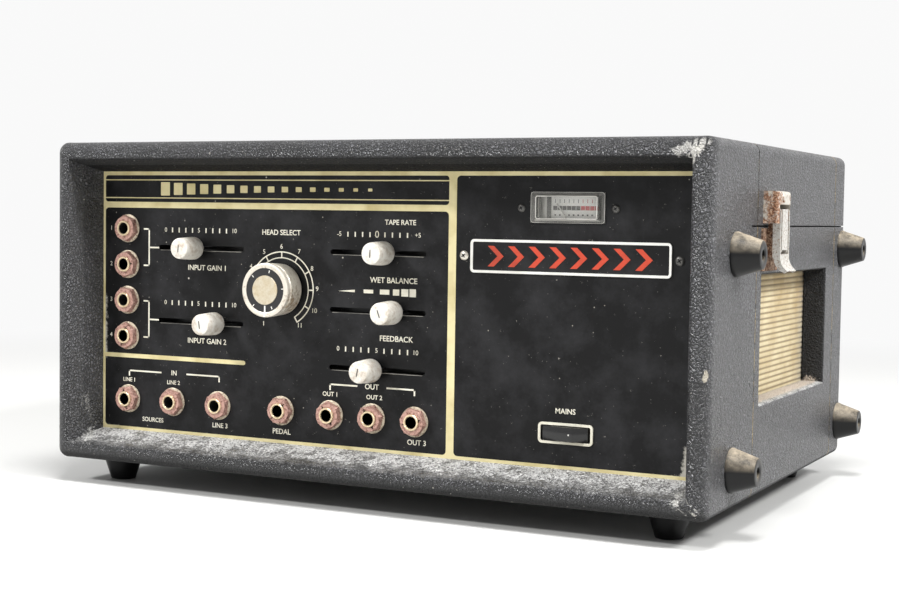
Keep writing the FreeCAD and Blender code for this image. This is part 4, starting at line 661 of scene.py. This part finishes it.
def panel_print():
    """Gold lines that frame the panel's fields, and the plain blocks in the title band."""
    shape = bmesh.new()
    left, right, beyond = -184.4, 183.6, 200
    low, high = 16.2, 169.9
    divider = (47.7, 52.3)
    field(shape, (left, beyond + 2), (low, high))
    field(shape, (left + 2.4, divider[0]), (151.8, high - 2.5), 1.8)
    field(shape, (left + 2.4, divider[0]), (low + 2, 148.3), 2.2)
    field(shape, (divider[1], beyond), (low + 2, high - 2.5), 2.2)
    bmesh.ops.triangle_fill(shape, edges=list(shape.edges), use_beauty=True, normal=(0, -1, 0))
    bmesh.ops.bisect_plane(shape, geom=list(shape.verts) + list(shape.edges) + list(shape.faces),
                           dist=0.001, plane_co=(right, 0, 0), plane_no=(1, 0, 0),
                           clear_outer=True)
    bmesh.ops.solidify(shape, geom=list(shape.faces), thickness=PRINT / 2)
    ink_bar(shape, (left + 1, -81.4), (59.3, 61.8), 1.2, 0.03)
    ink_bar(shape, (left + 1, divider[0] + 1), (164.4, 165.0), 0, 0.03)
    ink_bar(shape, (left + 1, divider[0] + 1), (153.9, 154.5), 0, 0.03)
    # title band: one run of blocks that shrink like an echo dying away
    blocks, pitch, level = 16, 9.3, 159.5
    for number in range(blocks):
        half = 3.9 * 0.9 ** number
        x = -141.4 + pitch * number
        ink_bar(shape, (x, x + 6.4 - 0.25 * number), (level - half, level + half), 0.4)
    piece("panel_gold_print", shape, GOLD_INK, "cabinet")


def bracket(shape, points, width=0.9):
    """Add a line of ink that turns square corners through the points."""
    half = width / 2
    for (x0, z0), (x1, z1) in zip(points, points[1:]):
        ink_bar(shape, (min(x0, x1) - half, max(x0, x1) + half),
                (min(z0, z1) - half, max(z0, z1) + half))


def scale(shape, first, step, low, high):
    """Add the tick marks of a dial from 1 to 9, without the one at 5."""
    for number in (1, 2, 3, 4, 6, 7, 8, 9):
        x = first + number * step
        ink_bar(shape, (x - 0.4, x + 0.4), (low, high))


def control_print():
    """Cream scales, dial numbers, brackets and short plain words at the controls."""
    shape = bmesh.new()
    for number, top in ((1, 135.9), (2, 93.5)):
        bracket(shape, [(-153.3, top), (-149.8, top), (-149.8, top - 21.4), (-153.3, top - 21.4)])
        bracket(shape, [(-149.3, top - 10.8), (-143.0, top - 10.8)])
        for x, words in ((-137.7, "0"), (-114.2, "5"), (-89.6, "10")):
            lettering(shape, words, x, top - 0.3, 2.6)
        scale(shape, -137.7, 4.75, top - 1.7, top + 1.1)
        lettering(shape, f"INPUT GAIN {number}", -108.2, top - 21.9, 3.1, weight=BOLD)
    for x, words, height in ((-19.8, "-5", 2.6), (4.0, "0", 3.9), (29.2, "+5", 2.6)):
        lettering(shape, words, x, 135.3, height)
    scale(shape, -19.0, 4.65, 133.9, 136.6)
    for x, words in ((-19.9, "0"), (4.5, "5"), (28.6, "10")):
        lettering(shape, words, x, 72.0, 2.6)
    scale(shape, -19.9, 4.85, 70.6, 73.4)
    lettering(shape, "TAPE RATE", 18.4, 142.0, 2.8, weight=BOLD)
    lettering(shape, "WET BALANCE", 14.6, 110.5, 3.1, weight=BOLD)
    lettering(shape, "FEEDBACK", 16.6, 78.8, 3.1, weight=BOLD)
    # a wedge and five bars that grow with the setting
    for x0, x1, half in ((-4, 2, 1.0), (6.2, 12.1, 1.35), (14.3, 18.2, 1.65),
                         (19.5, 23.8, 2.0), (24.5, 28.4, 2.15)):
        ink_bar(shape, (x0, x1), (104.2 - half, 104.2 + half))
    outline(shape, [(-20.2, 103.9), (-9.6, 103.5), (-9.6, 104.9)], "y",
            (PANEL - PRINT, PANEL))
    # sockets
    for x0, x1, side in ((-164.0, -141.0, 0), (-99.4, -122.0, 0), (-24.8, -7.8, 0.2),
                         (28.3, 11.5, 0.2)):
        bracket(shape, [(x0, 48.9 + side), (x0, 51.7 + side), (x1, 51.7 + side)])
    for words, x, z, height in (
            ("IN", -131.4, 51.8, 2.9), ("LINE 1", -164.0, 46.2, 2.4),
            ("LINE 2", -131.8, 46.2, 2.4), ("SOURCES", -146.6, 23.3, 2.6),
            ("LINE 3", -98.6, 23.3, 2.8), ("PEDAL", -56.5, 23.0, 3.0), ("OUT", 1.8, 51.9, 3.0),
            ("OUT 1", -24.6, 46.3, 2.5), ("OUT 2", 3.4, 46.2, 2.5), ("OUT 3", 30.0, 23.3, 2.9),
            ("HEAD SELECT", -57.8, 135.3, 3.0),
            ("MAINS", 116.4, 46.3, 2.8)):
        lettering(shape, words, x, z, height, weight=BOLD)
    for number, (x, z) in enumerate(SOCKETS[:4], start=1):
        lettering(shape, str(number), x - 12.4, z, 2.6)
    # rotary selector: two arcs joined by ticks, closed at the last position
    x0, z0 = SELECTOR
    for inner, outer in ((20.6, 21.3), (17.4, 18.0)):
        arc(shape, SELECTOR, inner, outer, 170, 230)
    for position in range(4, 12):
        angle = 90 - 30 * (position - 6)
        x = x0 + 19.4 * math.cos(math.radians(angle))
        z = z0 + 19.4 * math.sin(math.radians(angle))
        stroke(shape, x, z, 3.6, 0.75, angle)
    for words, x, z in (("1", -69.1, 83.7), ("4", -77.9, 115.8), ("5", -69.1, 124.3),
                        ("6", -57.5, 127.5), ("7", -45.8, 124.9), ("8", -37.3, 115.6),
                        ("9", -33.8, 104.4), ("10", -35.6, 92.2), ("11", -45.0, 83.6),
                        ("2", -78.2, 92.4), ("3", -81.6, 104.2)):
        lettering(shape, words, x, z, 2.7)
    piece("panel_cream_print", shape, CREAM_INK, "cabinet")


# Panel hardware

def cross_head(shape, x, z, radius, proud, material):
    """Add a domed screw head with a cross recess, on the panel."""
    lathe(shape, [(0, -proud), (radius * 0.5, -proud * 0.92), (radius * 0.85, -proud * 0.55),
                  (radius, 0), (0, 0)], (x, PANEL, z), "y", 24, material)
    for degrees in (35, 125):
        stroke(shape, x, z, radius * 0.95, radius * 0.26, degrees,
               (PANEL - proud - 0.03, PANEL - 0.1))


def panel_screws():
    """A bright screw and a dull one at the framed window, and two dull ones at the meter."""
    shape = bmesh.new()
    for x, z, radius, material in ((57.0, BADGE[1], 2.6, 2), (176.2, BADGE[1], 2.6, 1),
                                   (89.9, METER[1] - 0.4, 2.2, 1),
                                   (141.9, METER[1] - 0.4, 2.2, 1)):
        cross_head(shape, x, z, radius, 1.1, material)
    piece("panel_screw_heads", shape, [GLOSS_ABS, DARK_SCREW, NICKEL], "cabinet",
          ["panel_screws"])


def socket_nuts():
    """Hexagon nuts with a turned chamfer, the worn washers under them, and the bushings."""
    shape = bmesh.new()
    for number, (x, z) in enumerate(SOCKETS):
        turn = math.radians(11 + 37 * number)
        rings = []
        for proud, radius, sides in ((4.0, 6.85, 48), (2.7, 8.0, 6), (0.8, 8.0, 6),
                                     (0.8, 4.55, 48), (4.0, 4.55, 48)):
            before = set(shape.edges)
            matrix = (Matrix.Translation((x, PANEL - proud, z))
                      @ Matrix.Rotation(math.pi / 2, 4, "X") @ Matrix.Rotation(turn, 4, "Z"))
            bmesh.ops.create_circle(shape, cap_ends=False, segments=sides, radius=radius,
                                    matrix=matrix)
            ring = [edge for edge in shape.edges if edge not in before]
            bmesh.ops.subdivide_edges(shape, edges=ring, cuts=48 // sides - 1)
            rings.append([edge for edge in shape.edges if edge not in before])
        for first, second in zip(rings, rings[1:] + rings[:1]):
            bmesh.ops.bridge_loops(shape, edges=first + second)
    piece("socket_nuts", shape, COPPERED, "cabinet", ["jack_nuts"], smooth=28)
    shape = bmesh.new()
    for x, z in SOCKETS:
        lathe(shape, [(4.6, 0.8), (4.6, 0.1), (7.9, 0.1), (8.3, 0.4), (8.3, 0.8), (4.6, 0.8)],
              (x, PANEL - 0.8, z), "y", 48)
    piece("socket_washers", shape, WASHER, "cabinet", ["jack_washers"])
    shape = bmesh.new()
    for x, z in SOCKETS:
        centre = (x, PANEL - 5, z)
        lathe(shape, [(3.25, 0.5), (3.6, 0), (4.2, 0), (4.5, 0.35), (4.5, 9.0)], centre, "y", 40)
        lathe(shape, [(4.5, 9.0), (3.25, 9.0), (3.25, 0.5)], centre, "y", 40, material=1)
    bmesh.ops.remove_doubles(shape, verts=shape.verts, dist=0.001)
    piece("socket_bushings", shape, [BRASS, TARNISHED], "cabinet", ["jack_bushings"])


def slot_edges():
    """Bare metal along the lower edge of each slide control's slot, where the enamel is worn."""
    shape = bmesh.new()
    for x, z, _ in SLIDERS:
        ink_bar(shape, (x - 28.4, x + 28.4), (z - 1.75, z - 1.42), 0.12)
    piece("slot_edges", shape, WORN_EDGE, "cabinet")


def slider_knobs():
    """Barrel knobs with fine flutes and a short mark across the face."""
    front = 6.0
    flutes = 112
    tilts = (87, 98, 88, 110, 78)
    for number, ((_, z, x), tilt) in enumerate(zip(SLIDERS, tilts), start=1):
        shape = bmesh.new()
        lathe(shape, [(0, 0.1), (5.0, 0.0), (5.6, 0.25), (5.95, 0.9), (6.3, 7), (6.5, 12),
                      (6.45, 14.6), (5.9, 15.8), (4.9, 16.5), (0, 16.5)],
              (x, front, z), "y", flutes)
        for vert in shape.verts:
            offset = Vector((vert.co.x - x, 0, vert.co.z - z))
            along = vert.co.y - front
            if 0.8 < along < 15 and offset.length > 5.5:
                angle = math.atan2(offset.z, offset.x)
                if round(angle / (2 * math.pi) * flutes) % 2:
                    vert.co -= offset.normalized() * 0.16
        stroke(shape, x - 0.4, z, 4.4, 0.55, tilt, (front - 0.07, front + 0.07), 1)
        slab(shape, (x - 1.8, x + 1.8), (front + 16, 35.2), (z - 0.6, z + 0.6), material=1)
        piece(f"slider_{number}_barrel", shape, [KNOB_SATIN, DARK_SCREW], f"slider_{number}",
              [f"slider_knob_{number}"], smooth=30)


def selector_knob():
    """Rotary selector: bright rim and tapering barrel, black inlay, spun cap and pointer."""
    x, z = SELECTOR
    front = 7.9
    shape = bmesh.new()
    lathe(shape, [(12.3, 1.2), (12.3, 0.2), (12.7, 0.0), (14.3, 0.0), (14.95, 0.4), (15.05, 1.2),
                  (15.05, 3.0), (14.6, 3.4), (14.6, 3.8), (15.0, 4.4), (14.4, 15.4),
                  (14.0, 16.0), (3.2, 16.0)], (x, front, z), "y", 160)
    piece("selector_barrel", shape, SELECTOR_RIM, "selector",
          ["selector_knob"], smooth=30)
    shape = bmesh.new()
    lathe(shape, [(8.2, 0.55), (12.35, 0.55), (12.35, 1.2), (0, 1.2)], (x, front, z), "y", 64)
    piece("selector_inlay", shape, INLAY, "selector")
    shape = bmesh.new()
    lathe(shape, [(0, 0.0)] + [(1.0 * ring + 0.55 * side, 0.02 + 0.05 * side)
                               for ring in range(1, 8) for side in (0, 1)]
          + [(8.0, 0.1), (8.15, 0.3), (8.15, 1.2), (0, 1.2)], (x, front, z), "y", 64)
    piece("selector_spun_cap", shape, SPUN, "selector", ["selector_cap"])
    shape = bmesh.new()
    for degrees, out, long, wide in ((270, 10.4, 3.6, 0.9), (75, 10.6, 1.5, 0.5),
                                     (137, 11.0, 1.5, 0.5), (295, 10.6, 1.5, 0.5),
                                     (5, 11.4, 1.2, 0.5), (229, 11.4, 1.2, 0.5)):
        angle = math.radians(degrees)
        stroke(shape, x + out * math.cos(angle), z + out * math.sin(angle), long, wide, degrees,
               (front + 0.44, front + 0.56))
    stroke(shape, x, z - 14.2, 1.4, 0.8, 270, (front - 0.05, front + 0.1))
    piece("selector_marks", shape, WHITE_INK, "selector")


def meter():
    """Level meter's dial card with its scale, behind the clear cover."""
    x, z = METER
    shape = bmesh.new()
    back = 29.15
    slab(shape, (x - 17.3, x + 17.3), (28.95, back), (z - 8.5, z + 6.3))
    slab(shape, (x - 17.3, x - 13.4), (28.9, back), (z - 8.4, z + 6.2), material=3)
    slab(shape, (x - 13.4, x - 10.9), (28.87, back), (z - 8.4, z + 6.2), material=4)
    for number in range(10):
        spot = x - 9.8 + number * 2.55
        ink = 2 if number > 5 else 1
        slab(shape, (spot, spot + 2.3), (28.88, back), (z - 1.3, z + 0.9), material=ink)
        slab(shape, (spot + 1, spot + 1.3), (28.88, back), (z + 2.4, z + 4.3), material=ink)
        slab(shape, (spot + 0.7, spot + 1.6), (28.88, back), (z - 4.2, z - 3.4), material=1)
    piece("meter_dial", shape, [DIAL_CARD, BLACK_INK, RED_INK, STEEL, BLACK_ABS], "cabinet")
    # polished edges of the cover, whose catchlights are painted as pale lines, a painted highlight
    shape = bmesh.new()
    open_frame(shape, (x - 17.1, x + 17.1), (PANEL - 3.04, PANEL - 2.8), (z - 6.0, z + 6.0), 1.2,
               0.5, 1)
    open_frame(shape, (x - 20.4, x + 20.4), (PANEL - 1.04, PANEL - 0.8), (z - 7.95, z + 7.95),
               1.6, 0.2, 1)
    open_frame(shape, (x - 20.0, x + 20.0), (PANEL - 0.6, PANEL - 0.3), (z - 7.6, z + 7.6), 1.2,
               1.6, 1, 1)
    piece("meter_cover_edges", shape, [PAINTED_EDGE_HIGHLIGHT, SMOKED_EDGE], "cabinet",
          smooth=30)


def name_window():
    """Framed window: a white line round a sunk black field with plain shapes in it."""
    x, z = BADGE
    shape = bmesh.new()
    slab(shape, (x - 55.5, x + 55.5), (PANEL - 1, PANEL), (z - 8.8, z + 8.8), 2.2, 5, only=1)
    front = [face for face in shape.faces if face.normal.y < -0.9]
    bmesh.ops.inset_region(shape, faces=front, thickness=1.35, depth=0)
    for face in front:
        face.material_index = 1
    bmesh.ops.translate(shape, verts=list({v for face in front for v in face.verts}),
                        vec=(0, 0.5, 0))
    piece("name_window_frame", shape, [WHITE_INK, PANEL_BLACK], "cabinet",
          ["badge_window"], smooth=30)
    shape = bmesh.new()
    # eight chevrons in one even run, as on a fast winding key
    count, pitch = 8, 11.7
    tall, stroke_wide, lean = 5.4, 3.6, 5.6
    for number in range(count):
        tail = x - 45.5 + number * pitch
        outline(shape, [(tail, z - tall), (tail + stroke_wide, z - tall),
                        (tail + stroke_wide + lean, z), (tail + stroke_wide, z + tall),
                        (tail, z + tall), (tail + lean, z)], "y",
                (PANEL - 0.62, PANEL - 0.5))
    piece("name_window_shapes", shape, ORANGE_INK, "cabinet")


def mains_switch():
    """Light line round the opening, and the two-sided rocker with rounded edges."""
    x, z = SWITCH
    shape = bmesh.new()
    open_frame(shape, (x - 15.2, x + 15.2), (PANEL - 0.9, PANEL), (z - 5.45, z + 5.45), 2.2,
               1.3, 1)
    piece("switch_line", shape, CREAM_INK, "cabinet", ["power_bezel"], smooth=30)
    shape = bmesh.new()
    outline(shape, [(x - 12.9, ROCKER_PIVOT - 1.8), (x - 12.9, ROCKER_PIVOT - 4.6),
                    (x + 5.4, ROCKER_PIVOT - 8.9), (x + 12.6, ROCKER_PIVOT - 3.6),
                    (x + 12.6, ROCKER_PIVOT - 1.6), (x + 3, ROCKER_PIVOT + 2.4),
                    (x - 3, ROCKER_PIVOT + 2.4)], "z", (z - 3.7, z + 3.7))
    bmesh.ops.bevel(shape, geom=list(shape.edges), offset=0.35, segments=2, profile=0.5,
                    affect="EDGES", material=-1)
    lathe(shape, [(0, -6), (1.2, -6), (1.2, 6), (0, 6)], (x, ROCKER_PIVOT, z), "z", 24)
    piece("rocker_cap", shape, GLOSS_ABS, "rocker", ["power_rocker"], smooth=30)
    shape = bmesh.new()
    slab(shape, (x + 3.0, x + 3.7), (ROCKER_PIVOT - 8.62, ROCKER_PIVOT - 8.3), (z - 0.4, z + 0.4))
    piece("rocker_dot", shape, WHITE_INK, "rocker")


# Case fittings

def thicken(made, metres, offset):
    """Give a sheet its thickness: half on each side of its face, or all on one."""
    thick = made.modifiers.new("thickness", "SOLIDIFY")
    thick.thickness = metres
    thick.offset = offset


def foot(shape, centre, axis, sign):
    """Add a moulded foot: a cone with rounded rims, a rolled edge and a screw well."""
    profile = [(0, 4.8), (2.6, 4.9), (2.6, 13.6), (3.2, 14.0), (6.6, 14.0), (7.1, 13.8),
               (7.35, 13.2), (7.7, 12.2), (10.9, 2.2), (11.5, 0.9), (11.4, 0.0), (0, 0.0)]
    lathe(shape, [(radius, sign * height) for radius, height in profile], centre, axis, 48)


def feet():
    """Rubber feet below and on the right side."""
    shape = bmesh.new()
    for x in (-172, 172):
        for y in (30, 250):
            foot(shape, (x, y, 0), "z", -1)
    piece("moulded_bottom_feet", shape, RUBBER, "cabinet", ["bottom_feet"])
    shape = bmesh.new()
    for y in (40.5, 267.5):
        for z in (21, 129):
            foot(shape, (CASE_HALF, y, z), "x", 1)
    piece("moulded_side_feet", shape, RUBBER, "cabinet", ["side_feet"])


def grille():
    """Ribbed cloth stretched behind the vent."""
    shape = bmesh.new()
    low, high = VENT[2] - 5, VENT[3] + 4
    front, back = VENT[0] - 5, VENT[1] + 5
    rows = round((high - low) / RIB_PITCH * 8)
    matrix = (Matrix.Translation((CLOTH_OUTSIDE - 0.9, (front + back) / 2, (low + high) / 2))
              @ Matrix.Rotation(math.pi / 2, 4, "Y")
              @ Matrix.Diagonal((high - low, back - front, 1, 1)))
    bmesh.ops.create_grid(shape, x_segments=rows, y_segments=6, size=0.5, matrix=matrix)
    rib_depth = 0.42
    for vert in shape.verts:
        wave = math.cos(2 * math.pi * (vert.co.z - RIB_START) / RIB_PITCH)
        vert.co.x += rib_depth * ((0.5 + 0.5 * wave) ** 0.7 - 0.5)
    cloth = piece("grille_ribbed_cloth", shape, CLOTH, "cabinet", ["grille_cloth"],
                  smooth=180)
    thicken(cloth, 0.0004, 0)


def lid_felt():
    """Black felt glued in the saw cut, round the three sides that the lid closes on."""
    shape = bmesh.new()
    edge = CASE_HALF - 1.2
    open_frame(shape, (-edge, edge), (SEAM - 20, CASE_DEPTH - 1.2), (SAW_CUT[0], SAW_CUT[1] - 0.1),
               9, 11.6, 2)
    everything = list(shape.verts) + list(shape.edges) + list(shape.faces)
    cut = bmesh.ops.bisect_plane(shape, geom=everything, dist=0.001, plane_co=(0, SEAM + 1.5, 0),
                                 plane_no=(0, -1, 0), clear_outer=True)["geom_cut"]
    rim = [part for part in cut if isinstance(part, bmesh.types.BMEdge)]
    bmesh.ops.holes_fill(shape, edges=rim)
    piece("lid_felt_strip", shape, FELT, "cabinet")


def tape_and_belt():
    """Endless tape round its posts, and the flat rubber belt of the drive."""
    shape = bmesh.new()
    slab(shape, (-146, 146), (104, 196.5), (149, 155.35), 8.4, 10, only=2)
    ends = [face for face in shape.faces if abs(face.normal.z) > 0.9]
    bmesh.ops.delete(shape, geom=ends, context="FACES_ONLY")
    tape = piece("endless_tape", shape, TAPE, "cabinet", ["tape_loop"])
    thicken(tape, 0.00025, -1)
    shape = bmesh.new()
    for x, y, radius in ((60, 200, 36.5), (135, 225, 7.5)):
        bmesh.ops.create_circle(shape, cap_ends=False, segments=72, radius=radius,
                                matrix=Matrix.Translation((x, y, 134)))
    hull = bmesh.ops.convex_hull(shape, input=list(shape.verts))
    bmesh.ops.delete(shape, geom=hull["geom_interior"], context="VERTS")
    rim = {edge for edge in shape.edges if edge.is_boundary} or set(shape.edges)
    bmesh.ops.delete(shape, geom=list(shape.faces), context="FACES_ONLY")
    rim = [edge for edge in shape.edges if edge in rim]
    made = bmesh.ops.extrude_edge_only(shape, edges=rim)["geom"]
    raised = [item for item in made if isinstance(item, bmesh.types.BMVert)]
    bmesh.ops.translate(shape, verts=raised, vec=(0, 0, 4))
    belt = piece("flat_belt", shape, BELT_RUBBER, "cabinet", ["drive_belt"])
    thicken(belt, 0.0012, -1)


def dress_cad_pieces():
    """Give each piece that keeps its CAD shape the finish of the real one."""
    finishes = {
        VINYL: ("cabinet_shell", "lid"),
        MOULDING: ("front_frame",),
        PANEL_BLACK: ("front_panel",),
        STEEL: ("foot_screws", "case_hinge_leaves", "lid_hinge_leaves", "hinge_pins",
                "chassis_tray", "guide_posts", "pinch_arm", "meter_needle"),
        TURNED_STEEL: ("selector_shaft", "capstan_shaft", "tape_heads", "flywheel",
                       "motor_pulley"),
        BRASS: ("capstan_bearing",),
        BLACK_ABS: ("jack_bodies", "slider_pot_bodies", "selector_switch_body", "meter_body",
                    "power_switch_body", "mains_inlet", "fuse_holder"),
        RUBBER: ("pinch_roller",),
        RUSTED: ("latch_bases", "handle_brackets"),
        HOOD_CHROME: ("latch_keepers",),
        CHROME: ("latch_lever_right", "latch_lever_left", "latch_claw_right",
                 "latch_claw_left"),
        GRIP: ("handle_grip",),
        CLEAR: ("meter_cover",),
        DECK_PAINT: ("deck_plate", "head_block", "drive_motor"),
        LAMINATION: ("power_transformer",),
        BOARD: ("circuit_board",),
        SLEEVE: ("capacitors",),
    }
    for material, names in finishes.items():
        for name in names:
            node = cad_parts[name]
            node.data.materials.clear()
            node.data.materials.append(material)


# Stage

def whiter(tree, near, far):
    """A mask that is 1 where a camera, glossy or transmission ray lands, and far off only."""
    rays = add(tree, "LightPath")
    seen = rays.outputs["Is Camera Ray"]
    for kind in ("Is Glossy Ray", "Is Transmission Ray"):
        seen = add(tree, "Math", {0: seen, 1: rays.outputs[kind]}, operation="MAXIMUM")
    if not far:
        return seen
    coordinates = add(tree, "TexCoord")
    away = add(tree, "VectorMath", {0: coordinates.outputs["Object"]}, operation="LENGTH")
    away = add(tree, "MapRange", {"Value": away.outputs["Value"], "From Min": near,
                                  "From Max": far},
               interpolation_type="SMOOTHSTEP")
    return add(tree, "Math", {0: seen, 1: away}, operation="MULTIPLY")


def studio():
    """Pale floor that fades into a white background, lamps, and the photograph's camera."""
    floor_mesh = bpy.data.meshes.new("floor")
    shape = bmesh.new()
    bmesh.ops.create_grid(shape, x_segments=1, y_segments=1, size=30)
    shape.to_mesh(floor_mesh)
    shape.free()
    floor = bpy.data.objects.new("floor", floor_mesh)
    bpy.context.collection.objects.link(floor)
    material, tree, shader, *_ = start("pale_floor", "#cfcfcd", 0.6)
    glow = add(tree, "Emission", {"Strength": 0.95})
    mixed = add(tree, "MixShader", {0: whiter(tree, 0.5, 1.3), 1: shader, 2: glow})
    tree.links.new(mixed.outputs[0], tree.nodes["Material Output"].inputs["Surface"])
    floor_mesh.materials.append(material)

    world = bpy.data.worlds.new("studio")
    bpy.context.scene.world = world
    world.use_nodes = True
    tree = world.node_tree
    sky = tree.nodes["Background"]
    sky.inputs["Color"].default_value = (1, 1, 1, 1)
    strength = add(tree, "MapRange", {"Value": whiter(tree, 0, 0), "To Min": 0.38,
                                      "To Max": 0.95})
    tree.links.new(strength.outputs[0], sky.inputs["Strength"])

    for name, spot, target, wide, power in (
            ("key", (-1.3, -1.45, 1.6), (0, -0.05, 0.1), 0.3, 40),
            ("side", (1.7, -0.3, 1.5), (0.2, 0, 0.1), 0.4, 49),
            ("top", (0.3, -0.5, 1.8), (0, -0.1, 0.1), 0.5, 31)):
        lamp = bpy.data.lights.new(name, "AREA")
        lamp.size = wide
        lamp.energy = power
        holder = bpy.data.objects.new(name, lamp)
        bpy.context.collection.objects.link(holder)
        holder.location = spot
        aim = Vector(target) - Vector(spot)
        holder.rotation_euler = aim.to_track_quat("-Z", "Y").to_euler()

    turn, dip, roll = (math.radians(angle) for angle in (26.869, 3.043, -0.815))
    ahead = Vector((-math.sin(turn) * math.cos(dip), math.cos(turn) * math.cos(dip),
                    -math.sin(dip)))
    level_right = Vector((math.cos(turn), math.sin(turn), 0))
    level_up = level_right.cross(ahead)
    right = level_right * math.cos(roll) - level_up * math.sin(roll)
    up = level_up * math.cos(roll) + level_right * math.sin(roll)
    camera = bpy.data.cameras.new("camera")
    camera.sensor_width = 36
    camera.lens = 62.755
    view = bpy.data.objects.new("camera", camera)
    bpy.context.collection.objects.link(view)
    view.matrix_world = Matrix.Translation((0.42496, -0.86044, 0.15963)) @ Matrix(
        (right, up, -ahead)).transposed().to_4x4()
    bpy.context.scene.camera = view
    bpy.context.scene.view_settings.view_transform = "Standard"


studio()
dress_cad_pieces()
panel_print()
control_print()
panel_screws()
socket_nuts()
slot_edges()
slider_knobs()
selector_knob()
meter()
name_window()
mains_switch()
feet()
grille()
lid_felt()
tape_and_belt()
